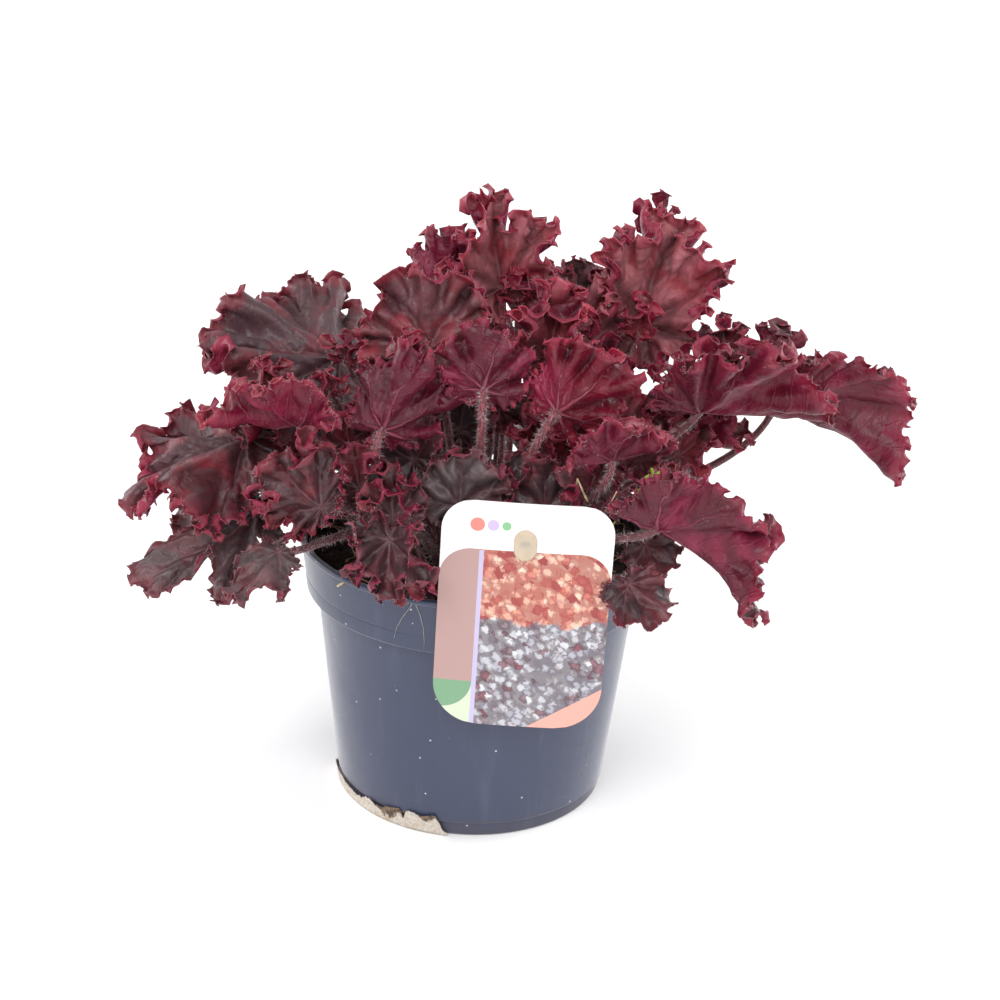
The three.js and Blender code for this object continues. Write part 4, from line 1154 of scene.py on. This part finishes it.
# %% Loose crumbs
CRUMB_REACH = 79.5  # how far from the axis they may lie
GOLD = (1 + math.sqrt(5)) / 2
BALL_CORNERS = unit([
    (-1, GOLD, 0), (1, GOLD, 0), (-1, -GOLD, 0), (1, -GOLD, 0), (0, -1, GOLD), (0, 1, GOLD),
    (0, -1, -GOLD), (0, 1, -GOLD), (GOLD, 0, -1), (GOLD, 0, 1), (-GOLD, 0, -1), (-GOLD, 0, 1),
])
BALL_FACES = np.array([
    (0, 11, 5), (0, 5, 1), (0, 1, 7), (0, 7, 10), (0, 10, 11), (1, 5, 9), (5, 11, 4), (11, 10, 2),
    (10, 7, 6), (7, 1, 8), (3, 9, 4), (3, 4, 2), (3, 2, 6), (3, 6, 8), (3, 8, 9), (4, 9, 5),
    (2, 4, 11), (6, 2, 10), (8, 6, 7), (9, 8, 1),
])


def build_crumbs(number, seed):
    """Balls of twenty triangles, each dented and stretched in its own way."""
    chance = np.random.default_rng(seed)
    r, angle = CRUMB_REACH * np.sqrt(chance.random(number)), TURN * chance.random(number)
    x, y = r * np.cos(angle), r * np.sin(angle)
    size = 0.35 + 1.1 * chance.random(number) ** 2.5
    spots = np.stack([x, y, soil_height(x, y) + 0.9 + 0.5 * size], -1)
    stretch = chance.uniform(0.6, 1.4, (number, 1, 3))
    dents = chance.uniform(0.75, 1.2, (number, len(BALL_CORNERS), 1))
    points = spots[:, None, :] + BALL_CORNERS * dents * stretch * size[:, None, None]
    faces = BALL_FACES + len(BALL_CORNERS) * np.arange(number)[:, None, None]
    faces = [faces.reshape(-1, 3)]
    make_piece("soil_crumbs", points.reshape(-1, 3), faces, [SOIL_FINISH], "soil", smooth=False)


build_crumbs(number=1800, seed=7)
print("The crumbs have", triangles_made["soil_crumbs"], "triangles")

# %% Roots in the soil
ROOT_REACH = 79.0


def make_joined(name, parts, finish, slot, replaces=()):
    """One piece from several tubes or plates."""
    points, *faces = joined(parts)
    return make_piece(name, points, faces, [finish], slot, replaces)


def build_roots(number, seed):
    chance = np.random.default_rng(seed)
    parts = []
    for _ in range(number):
        r, angle = (ROOT_REACH - 1) * math.sqrt(chance.random()), TURN * chance.random()
        heading = TURN * chance.random()
        steps = int(chance.integers(7, 14))
        turns = heading + np.cumsum(chance.normal(0, 0.35, steps))
        stride = chance.uniform(1.5, 2.8)
        x = r * math.cos(angle) + np.cumsum(stride * np.cos(turns))
        y = r * math.sin(angle) + np.cumsum(stride * np.sin(turns))
        inside = np.minimum(1, ROOT_REACH / np.maximum(np.hypot(x, y), 1e-6))
        x, y = x * inside, y * inside
        z = soil_height(x, y) + 1.2 + 0.8 * np.sin(np.linspace(0, math.pi, steps))
        thick = chance.uniform(0.22, 0.55)
        parts.append(tube(np.stack([x, y, z], -1), np.linspace(thick, thick * 0.4, steps), 5))
    fibre = drifting("root_fibre", 7, 3, (104, 74, 52), (196, 168, 128), roughness=0.7)
    make_joined("soil_roots", parts, fibre.material, "soil")


build_roots(number=90, seed=11)
print("The roots in the soil have", triangles_made["soil_roots"], "triangles")

# %% [markdown]
# ## The crown
# The crown is the plant's short woody stem, hidden where the stalks crowd together. The CAD solid already
# has its form and the ridges of old leaf scars, so it only needs bark: dark, flaky and ringed.

# %% Bark on the crown
def crown_finish():
    finish = Finish("crown_bark", roughness=0.85)
    flakes = finish.clouds(finish.where(0.5, 0.5, 1.6), 1.6, 4, 0.65)
    tone = finish.ramp(flakes, (0.3, 34, 22, 20), (0.6, 86, 58, 46), (0.8, 128, 96, 76))
    return finish.set(base_color=tone, normal=finish.relief(flakes, 0.8))


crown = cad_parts["crown"]
crown.data.materials.clear()
crown.data.materials.append(crown_finish())
print("Bark on", crown.name)

# %% [markdown]
# ## The card label
# The label is a printed plastic card, cut with rounded corners, slightly bowed by the pot and the peg.
# The print is a plain garden-centre design of this lesson's own: a white head, a rose-coloured band, and
# a panel of round leaves, warm above and silver below. It is drawn by nodes from the place on the card,
# so it stays sharp at any distance. It carries no words.

# %% The card's form
CARD_WIDTH, CARD_HEIGHT = 75, 108
CARD_THICKNESS = 0.6
CARD_X, CARD_Z = 21.5, 126
CARD_FACE_Y = -86.7
CARD_BOW = 420  # radius of the bow
CARD_TURN = math.radians(-1.5)
TOP_CORNER, FOOT_CORNER = 14, 20  # radii


def card_half_width(z):
    """Half the card's width at a height above its middle."""
    cut = 0
    for radius, height in ((TOP_CORNER, z), (FOOT_CORNER, -z)):
        beyond = np.clip(height - (CARD_HEIGHT / 2 - radius), 0, radius)
        cut = cut + radius - np.sqrt(radius**2 - beyond**2)
    return CARD_WIDTH / 2 - cut


def card_place(u, v, depth):
    """The place in the plant's frame of a point u to the right and v up on the card."""
    x = u * math.cos(CARD_TURN) - v * math.sin(CARD_TURN)
    z = u * math.sin(CARD_TURN) + v * math.cos(CARD_TURN)
    sag = CARD_BOW - np.sqrt(CARD_BOW**2 - u**2)
    return np.stack([x + CARD_X, CARD_FACE_Y + sag + depth, z + CARD_Z], -1)


# %% Masks for the print
BAND_U = -20.5  # the band is left of this
DOTS_V = 43.0


def box_mask(u, v, left, right, low, high):
    """1 inside a rectangle of the card."""
    return (u > left) * (u < right) * ((v > low) * (v < high))


def disc_mask(u, v, middle_u, middle_v, radius):
    """1 inside a disc of the card."""
    a, b = u - middle_u, v - middle_v
    return (a * a + b * b).square_root() < radius


def below_head(u, v):
    """1 below the white head, whose lower edge curves down at both sides of the card."""
    side = (abs(u) - 23.5).at_least(0.0)
    drop = 14.0 - (196.0 - side * side).at_least(0.0).square_root()
    return v < 31.5 - drop


# %% The card's print
def leaf_picture(finish, u, v, spot):
    """A crowd of round leaves with thin stems, warm above and silver below."""
    warp = finish.clouds(spot, 3.2, 4, 0.65) - 0.5
    warped = finish.join(warp * 7 + u, warp * -6 + v, 0.0)
    pick, _, _ = finish.parts(finish.cells(warped, 3.6, "Color"))
    warm = finish.ramp(
        pick, (0, 230, 192, 168), (0.3, 216, 148, 126), (0.55, 238, 212, 190),
        (0.78, 196, 104, 90), (1, 150, 52, 56),
    )
    cool = finish.ramp(
        pick, (0, 196, 196, 204), (0.35, 164, 164, 176), (0.6, 218, 218, 222),
        (0.85, 142, 132, 142), (1, 134, 74, 86),
    )
    upper = (finish.clouds(spot, 14) * 14 + v).rise(4, 6)
    shade = (finish.clouds(spot, 2.2, 4, 0.7) * 0.7 + finish.cells(warped, 3.6)).rise(0.6, 0.95)
    stems = finish.clouds(finish.join(warp * 1.5 + u, v * 0.09, 3.0), 0.8, 1).rise(0.66, 0.74)
    return finish.over(
        finish.blend(upper, cool, warm),
        (shade * 0.7, finish.blend(upper, (74, 54, 62), (150, 58, 54))),
        (stems * upper * 0.6, (158, 44, 54)),
    )


def card_finish():
    finish = Finish("card_print", specular_ior_level=0.5, coat_weight=0.25, coat_roughness=0.18)
    u, v, face = finish.parts(finish.fact("card"))
    spot = finish.join(u, v, 0.0)
    corner = box_mask(u, v, -44, BAND_U, -60, -33)
    panel = finish.over(
        leaf_picture(finish, u, v, spot),
        (u < BAND_U, (176, 142, 138)),
        (corner, (204, 214, 188)),
        (disc_mask(u, v, -34.0, -33.0, 13.5) * corner, (118, 158, 124)),  # a sprig
        (u * -0.62 + v < -57, (228, 164, 150)),  # the wedge at the foot
        (box_mask(u, v, BAND_U, -18.5, -60, 31), (190, 180, 212)),  # a stripe beside the band
    )
    print_side = finish.over(
        finish.blend(below_head(u, v), (248, 246, 244), panel),
        (disc_mask(u, v, -22, DOTS_V, 3.2), (238, 130, 120)),
        (disc_mask(u, v, -15.2, DOTS_V, 2.6), (196, 178, 224)),
        (disc_mask(u, v, -9.4, DOTS_V, 2.0), (128, 186, 136)),
    )
    tone = finish.blend(face > 0.5, (240, 240, 238), print_side)
    roughness = finish.clouds(spot, 3, 2) * 0.1 + 0.3
    normal = finish.relief(finish.clouds(spot, 18, 1), 0.25)
    return finish.set(base_color=tone, roughness=roughness, normal=normal)


# %% The card's piece
def build_card(rows=72, columns=25):
    rise = np.linspace(-CARD_HEIGHT / 2, CARD_HEIGHT / 2, rows)
    squeezed = CARD_HEIGHT / 2 * np.sin(rise / CARD_HEIGHT * math.pi)
    v = 0.5 * rise + 0.5 * squeezed  # closer together at the rounded corners
    u = card_half_width(v)[:, None] * np.linspace(-1, 1, columns)
    v = np.repeat(v[:, None], columns, 1)
    layers = [card_place(u, v, depth).reshape(-1, 3) for depth in (0.0, CARD_THICKNESS)]
    front = np.stack([u.ravel(), v.ravel(), np.ones(u.size)], -1)
    flat = np.concatenate([front, front * (1, 1, 0)])
    faces = sheet(rows, columns)
    card = make_piece(
        "plant_label", np.concatenate(layers), faces, [card_finish()], "card", ("label_card",), card=flat
    )
    card.data.set_sharp_from_angle(angle=math.radians(50))


build_card()
print("The card has", triangles_made["plant_label"], "triangles")

# %% [markdown]
# ## The peg
# The peg is moulded in a milky, slightly see-through beige plastic: a rounded head in front of the card,
# a neck through the slot, and a flat stake that leans back over the rim into the soil. All three are made
# of soft-edged outlines, swept over their thickness with a rounded shoulder.

# %% A soft-edged plate
def soft_plate(shape, thickness, shoulder, rows=7):
    """A plate in the x and z directions, thickness along y, with rounded edges."""
    shape = np.asarray(shape, float)
    middle = shape.mean(0)
    inward = unit(middle - shape)
    rings = []
    for turn in np.linspace(-math.pi / 2, math.pi / 2, rows):
        draw = shoulder * (1 - math.cos(turn))
        level = math.sin(turn) * shoulder + np.sign(turn) * (thickness / 2 - shoulder)
        ring = shape + inward * draw
        rings.append(np.stack([ring[:, 0], np.full(len(ring), level), ring[:, 1]], -1))
    hubs = [[middle[0], side * thickness / 2, middle[1]] for side in (-1, 1)]
    return np.concatenate([*rings, hubs]), *shell(len(shape), rows, outwards=False)


def oval(width, height, count=40):
    """An outline with straight sides and round ends."""
    angle = TURN * np.arange(count) / count
    radius = width / 2
    shift = (height - width) / 2
    return np.stack([radius * np.cos(angle), radius * np.sin(angle) + np.sign(np.sin(angle)) * shift], -1)


def peg_finish():
    finish = Finish(
        "peg_plastic", roughness=0.32,
        subsurface_weight=0.35, subsurface_scale=0.004, subsurface_radius=(1.0, 0.7, 0.45),
    )
    where = finish.where()
    tone = finish.blend(finish.clouds(where, 5, 2), (188, 170, 148), (202, 186, 166))
    return finish.set(base_color=tone, normal=finish.relief(finish.clouds(where, 3, 2), 0.12))


# %% The peg's piece
STAKE_SHAPE = [(-3.5, 1.8), (-3.5, -25), (-3.5, -55), (-1, -66), (1, -66), (3.5, -55), (3.5, -25), (3.5, 1.8)]
STAKE_LEAN = math.radians(16)


def build_peg():
    head, *head_faces = soft_plate(oval(10, 14), 2.2, 0.95)
    neck, *neck_faces = soft_plate(oval(5, 5.2, 24), 6, 0.5)
    edge = []
    for (x0, z0), (x1, z1) in zip(STAKE_SHAPE, STAKE_SHAPE[1:] + STAKE_SHAPE[:1]):
        edge += [(x0 + (x1 - x0) * t, z0 + (z1 - z0) * t) for t in (0, 0.25, 0.5, 0.75)]
    stake, *stake_faces = soft_plate(edge, 2, 0.3)
    cos, sin = math.cos(STAKE_LEAN), math.sin(STAKE_LEAN)
    leaning = (stake + (0, 1, 0)) @ np.array([[1, 0, 0], [0, cos, sin], [0, -sin, cos]])
    parts = [
        (head + (CARD_X, -88.05, 161), *head_faces),
        (neck * (1, 1, 0.62) + (CARD_X, -86, 162), *neck_faces),
        (leaning + (CARD_X, -84.8, 162), *stake_faces),
    ]
    peg = make_joined("label_stake", parts, peg_finish(), "peg", ("label_peg",))
    peg.data.set_sharp_from_angle(angle=math.radians(60))


build_peg()
print("The peg has", triangles_made["label_stake"], "triangles")

# %% [markdown]
# ## The torn paper round the foot
# A rest of wet paper sticks to the foot of the pot, torn along its upper edge and black with soil there.
# It could be a cloth simulation, but it lies flat on the pot, so it is a band whose height jumps about
# as a tear does, and whose upper edge lifts a little from the wall.

# %% The paper
PAPER_FOOT_Z = 0.3
PAPER_START, PAPER_SPAN = 178, 84  # degrees round the pot


def paper_height(share, angle):
    rise = 4.5 + 4.5 * ease(2 * share - 0.8)
    rag = 0.6 * (np.sin(21 * angle + 1) + 0.7 * np.sin(31 * angle))
    taper = ease(9 * share) * ease(14 * (1 - share))
    return 1.2 + taper * (rise + rag)


def paper_finish():
    finish = Finish("torn_paper", roughness=0.9, specular_ior_level=0.2)
    where = finish.where()
    felt = finish.clouds(where, 1.2, 4, 0.7)
    reach = finish.clouds(where, 3, 4, 0.7) * (finish.fact("muddy", "Fac") * 13 + 0.6)
    soot = (reach - finish.fact("below", "Fac")).rise(-0.3, 0.9)
    brown = finish.blend(finish.clouds(where, 2, 2).rise(0.4, 0.6), (48, 36, 30), (118, 92, 70))
    tone = finish.over(
        finish.ramp(felt, (0.3, 168, 157, 144), (0.6, 210, 201, 191)),
        (finish.clouds(where, 8, 3).rise(0.5, 0.75) * 0.6, (176, 150, 122)),  # damp
        (soot * 0.9, brown),
    )
    return finish.set(base_color=tone, normal=finish.relief(felt, 0.5))


def bump(angle, middle, width):
    """1 at an angle in degrees, and soon 0 on both sides of it."""
    return np.exp(-(((np.degrees(angle) - middle) / width) ** 2))


def build_paper(rows=7, columns=260):
    share = np.linspace(0, 1, columns)
    angle = np.radians(PAPER_START + PAPER_SPAN * share)
    tears = np.array([noise.fractal(Vector((a * 38, 0, 3)), 0.7, 2.2, 4) for a in angle])
    notch = 4.0 * bump(angle, 243, 0.9)
    top = PAPER_FOOT_Z + np.maximum(paper_height(share, angle) + 0.8 * tears - notch, 0.9)
    up = np.linspace(0, 1, rows)[:, None]
    z = PAPER_FOOT_Z + (top - PAPER_FOOT_Z) * up
    curl = 0.7 * ease((up - 0.6) / 0.4) * (0.5 + 0.5 * np.sin(17 * angle + 2))
    inner = body_radius(z) + 0.35 + curl
    outer = inner + 0.45 - 0.2 * up
    points = [np.stack([r * np.cos(angle), r * np.sin(angle), z], -1).reshape(-1, 3) for r in (outer, inner)]
    mud = bump(angle, 236, 5) + 0.5 * bump(angle, 254, 3)
    below = np.tile((top - z).ravel(), 2)
    muddy = np.tile(mud, 2 * rows)
    faces = sheet(rows, columns)
    make_piece(
        "foot_paper", np.concatenate(points), faces, [paper_finish()], "paper", ("paper_strip",),
        below=below, muddy=muddy,
    )


build_paper()
print("The paper has", triangles_made["foot_paper"], "triangles")

# %% [markdown]
# ## Young leaves in the heart of the plant
# Between the large leaves, new ones push up all the time. They are small, bright crimson where light
# reaches them, and crumpled like a scarf in a drawer, because they unfold only once they are up. They
# are too small for the CAD model, and each stands on a thin stalk of its own, so the same functions
# build them.

# %% The young leaves
FIRST_YOUNG_SEED = 500


def young(joint, aim, face, size, arch, fold, frill, mood, age, spot, back=0.5, cut=0.14, waves=8):
    return Leaf(joint, aim, face, size, back, arch, fold, cut, frill, waves, mood, age, "free", spot)


YOUNG_LEAVES = {
    "core": young((25, -30, 184), (1, 0, 9), (1, -9, 3), 22, 10, -45, 2.4, 0.9, 0, (14, -16)),
    "coreLeft": young((-29, -45, 182), (-3, 0, 9), (-1, -9, 3), 24, 15, -30, 2.2, 2.0, 0.9, (-14, -20)),
    "shade": young((-10, -5, 182), (1, 0, 9), (0, -9, 2), 22, 10, -20, 2.2, 3.1, 0.95, (-6, 2)),
    "curl": young((49, -62, 178), (2, -1, 9), (1, -9, 4), 21, 20, -35, 2.4, 4.2, 0.75, (24, -30)),
    "inlay": young((-52, -62, 174), (-2, -1, 9), (-1, -9, 4), 24, 15, -35, 2.4, 5.3, 0.7, (-26, -30),
                   cut=0.16),
    "dusk": young((19, -50, 166), (2, 0, 9), (0, -9, 3), 25, 15, 15, 2.0, 0.3, 1, (8, -30)),
    "wink": young((70, -56, 190), (5, -1, 8), (1, -9, 4), 19, 10, -40, 2.4, 1.5, 0.2, (28, -16)),
    "cuff": young((-36, -72, 168), (-4, -1, 9), (0, -9, 3), 17, 15, -30, 2.2, 2.7, 0.55, (-20, -40),
                  cut=0.16, waves=7),
    "veiled": young((8, 5, 188), (1, 1, 9), (0, -9, 2), 21, 10, -25, 2.2, 3.8, 0.85, (4, 8)),
    "spark": young((37, -38, 182), (3, 0, 8), (1, -9, 3), 20, 10, -45, 2.4, 4.9, 0.05, (20, -20)),
    "tassel": young((-58, -38, 184), (-3, 0, 9), (-1, -9, 3), 22, 15, -35, 2.4, 0.6, 0.6, (-28, -12)),
    "flag": young((90, -28, 182), (7, -1, 6), (1, -8, 5), 20, 15, -35, 2.2, 1.9, 0.5, (34, -8)),
    "topknot": young((80, 52, 267), (0, 3, 9), (1, 9, 2), 13, -10, -30, 2.4, 1.2, 0.7, (24, 34), back=0.3,
                     cut=0.1, waves=7),
    "ridge": young((129, -12, 227), (3, 1, 8), (1, 8, 4), 16, 10, -35, 2.4, 2.3, 0.85, (30, 6), back=0.4,
                   cut=0.12, waves=7),
    "saddle": young((108, -14, 229), (-1, 1, 8), (1, -8, 4), 15, 10, -35, 2.4, 4.4, 0.6, (26, 2), back=0.4,
                    cut=0.12, waves=7),
    "back": young((40, 30, 238), (1, 1, 9), (1, -9, 3), 18, 10, -25, 2.2, 5.0, 0.95, (10, 12), back=0.4,
                  cut=0.12),
    "knotRight": young((70, -3, 234), (0, -1, 9), (0, -9, 3), 13, 15, -30, 2.4, 0.7, 0.02, (27, -8), waves=7),
    "knotLeft": young((-95, -33, 214), (-1, -1, 9), (0, -9, 3), 11, 15, -30, 2.4, 1.6, 0.05, (-30, -14),
                      waves=7),
    "knotInner": young((-63, -14, 219), (1, -1, 9), (0, -9, 4), 11, 15, -30, 2.4, 2.5, 0.1, (-24, -4),
                       waves=7),
    "knotLow": young((-68, -33, 210), (0, -1, 9), (0, -9, 4), 10, 15, -30, 2.4, 3.6, 0.1, (-27, -20),
                     waves=7),
    "knotBrow": young((-31, -47, 231), (-2, -1, 9), (0, -9, 3), 12, 15, -30, 2.4, 4.5, 0.05, (-12, -24),
                      waves=7),
    "knotTop": young((14, 3, 246), (0, -1, 9), (0, -9, 3), 11, 15, -30, 2.4, 5.2, 0.05, (6, 0), waves=7),
    "rimTuft": young((-21, -74, 131), (-2, -6, 4), (-1, -6, 7), 12, 20, -40, 2.2, 3.4, 0.15, (-17, -62),
                     cut=0.2, waves=7),
    "rimTwin": young((-12, -72, 133), (3, -5, 6), (0, -6, 6), 10, 20, -40, 2.2, 5.7, 0.3, (-12, -60),
                     cut=0.2, waves=7),
}
for number, (name, leaf) in enumerate(YOUNG_LEAVES.items()):
    build_leaf("young_leaf_" + name, leaf, FIRST_YOUNG_SEED + number)
print("Young leaves:", len(YOUNG_LEAVES))

# %% [markdown]
# ## What else a pot collects
# A weed seedling has come up with the plant, with a few bright green leaves on a thread of a stem. Dry
# straws stand among the stalks, one splinter has stuck to the wet collar, and two root hairs hang over
# the rim where the plant was lifted out and put back. They are small, but an even, empty pot looks moulded
# a minute ago.

# %% The seedling
def bowed(start, end, sag, steps=16):
    """A line from start to end that bows out by the vector `sag` half-way."""
    t = np.linspace(0, 1, steps)[:, None]
    return np.array(start) * (1 - t) + np.array(end) * t + 4 * t * (1 - t) * np.array(sag, float)


SEEDLING_TOP = np.array([75.0, -82.0, 193.0])
parts = [tube(bowed((50, -52, 119), SEEDLING_TOP, (-3, 5, 4)), np.linspace(0.45, 0.3, 16), 6)]
for way, length in (((6, -1, 4), 6.5), ((-2, -2, 6), 5.0), ((4, 2, -2), 4.0), ((-5, 0, -1), 4.0)):
    leaflet = bowed(SEEDLING_TOP, SEEDLING_TOP + length * unit(way), (0, 0, 0.6), 10)
    parts.append(tube(leaflet, 0.25 + 0.55 * np.sin(np.linspace(0.1, math.pi - 0.15, 10)), 6))
seedling_green = drifting(
    "seedling_green", 3, 2, (122, 150, 40), (176, 196, 72),
    roughness=0.45, subsurface_weight=0.2, subsurface_scale=0.002,
)
make_joined("weed_seedling", parts, seedling_green.material, "leaf")
print("The seedling has", triangles_made["weed_seedling"], "triangles")

# %% Straws
COLLAR_LEVELS = (102, 103, 111, 127, 128, 130)
COLLAR_RADII = (76.2, 81.2, 81.9, 83.6, 85.1, 84.8)


def on_collar(places, off):
    """Points on the pot's collar or the wall under it, from pairs of x and z."""
    x, z = np.array(places, float).T
    reach = np.interp(z, COLLAR_LEVELS, COLLAR_RADII) + off
    return np.stack([x, -np.sqrt(reach**2 - x**2), z], -1)


parts = [
    tube(bowed((30, -44, 119), (43, -70, 186), (3, -4, 2)), np.linspace(0.5, 0.35, 16), 5),
    tube(bowed((43, -70, 186), (48, -72, 176), (0, -1, 0), 8), np.linspace(0.45, 0.5, 8), 5),
    tube(bowed((24, -60, 119), (60, -78, 184), (4, -2, 3)), np.linspace(0.3, 0.2, 16), 5),
    tube(bowed((-30, -60, 119), (-24, -78, 134), (-2, 0, 3)), np.linspace(0.4, 0.3, 16), 5),
    tube(on_collar([(-62.0, 123.2), (-60.6, 125.0), (-59.0, 127.0)], 0.25), (0.45, 0.7, 0.4), 5),
]
straw = drifting("dry_straw", 2.5, 3, (150, 122, 88), (224, 204, 166), roughness=0.6)
straw.set(normal=straw.relief(straw.clouds(straw.where(), 0.6, 2), 0.1))
make_joined("dry_straws", parts, straw.material, "soil")
print("The straws have", triangles_made["dry_straws"], "triangles")

# %% Root hairs
OVER_THE_RIM = np.array([[-22, -70, 121], [-24, -79.5, 130.6]])
HANGING = (
    [(-25, 129.6), (-25.5, 127), (-23.5, 122), (-22, 116), (-21.4, 109), (-21.4, 104)],
    [(-26.5, 129.6), (-28, 125), (-31.5, 119), (-34, 113), (-35.2, 107)],
)
parts = []
for places in HANGING:
    line = np.concatenate([OVER_THE_RIM, on_collar(places, 0.05)])
    parts.append(tube(line, np.linspace(0.22, 0.1, len(line)), 5))
pale_root = drifting("pale_root", 2, 2, (140, 134, 134), (186, 180, 176), roughness=0.6)
make_joined("hanging_roots", parts, pale_root.material, "soil")
print("The root hairs have", triangles_made["hanging_roots"], "triangles")

# %% [markdown]
# ## The studio
# The plant stands on a plain white floor in a white room, as for a catalogue. The room's light comes from
# everywhere, a wide sun lights floor and plant alike, and large soft lamps give the pot its pale edges
# and the leaves their satin sheen.

# %% Floor and light
def soft_lamp(name, place, width, watts, target=(0, 0, 0.15)):
    lamp = bpy.data.lights.new(name, "AREA")
    lamp.shape = "SQUARE"
    lamp.size = width
    lamp.energy = watts
    holder = show(name, lamp)
    holder.location = place
    holder.rotation_euler = (Vector(target) - Vector(place)).to_track_quat("-Z", "Y").to_euler()


def wide_sun(name, away, degrees, strength):
    """A sun as wide as a studio's soft box."""
    sun = bpy.data.lights.new(name, "SUN")
    sun.angle = math.radians(degrees)
    sun.energy = strength
    show(name, sun).rotation_euler = (-Vector(away)).to_track_quat("-Z", "Y").to_euler()


floor_mesh = bpy.data.meshes.new("studio_floor")
floor_mesh.from_pydata([(-3, -3, 0), (3, -3, 0), (3, 3, 0), (-3, 3, 0)], [], [(0, 1, 2, 3)])
white = drifting(
    "white_floor", 400, 2, (250, 250, 250), (253, 253, 253), roughness=0.9, specular_ior_level=0.1
)
floor_mesh.materials.append(white.material)
show("studio_floor", floor_mesh)
wide_sun("key_light", (-0.45, -0.9, 0.95), degrees=28, strength=1.12)
soft_lamp("front_lamp", (0.35, -1.3, 1.1), width=0.9, watts=6)
soft_lamp("left_lamp", (-1.5, 0.5, 0.6), width=1.2, watts=13)
soft_lamp("right_lamp", (1.5, 0.5, 0.6), width=1.2, watts=19)
room = bpy.data.worlds.new("white_room")
room.use_nodes = True
room.node_tree.nodes["Background"].inputs["Color"].default_value = (1, 1, 1, 1)
room.node_tree.nodes["Background"].inputs["Strength"].default_value = 0.82
bpy.context.scene.world = room
bpy.context.scene.view_settings.view_transform = "Standard"
print("Floor, a wide sun, three lamps and a white room")

# %% [markdown]
# ## The camera
# The camera looks down on the plant from in front at about 23 degrees, from a metre away, with a long lens
# and a slight roll. Its axes are worked out in full, because a roll is awkward to give as Euler angles.

# %% The camera
LOOK_AT = Vector((0.0098, 0, 0.145))
DISTANCE = 1.0
RISE = math.radians(22.8)
ROLL = math.radians(2.2)
SENSOR_WIDTH = 36
FOCAL_SHARE = 2.12  # the focal length against the sensor's width
back = Vector((0, -math.cos(RISE), math.sin(RISE)))
level = Vector((1, 0, 0))
upright = back.cross(level)
right = level * math.cos(ROLL) + upright * math.sin(ROLL)
up = upright * math.cos(ROLL) - level * math.sin(ROLL)
lens = bpy.data.cameras.new("catalogue_camera")
lens.sensor_fit = "HORIZONTAL"
lens.sensor_width = SENSOR_WIDTH
lens.lens = SENSOR_WIDTH * FOCAL_SHARE
camera = show("catalogue_camera", lens)
axes = Matrix((right, up, back)).transposed()
camera.matrix_world = Matrix.Translation(LOOK_AT + back * DISTANCE) @ axes.to_4x4()
bpy.context.scene.camera = camera
print("Camera at", [round(value, 3) for value in camera.location])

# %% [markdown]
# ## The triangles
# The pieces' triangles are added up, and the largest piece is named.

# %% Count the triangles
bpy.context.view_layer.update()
largest = max(triangles_made, key=triangles_made.get)
print("Triangles:", sum(triangles_made.values()), "the largest:", largest, triangles_made[largest])
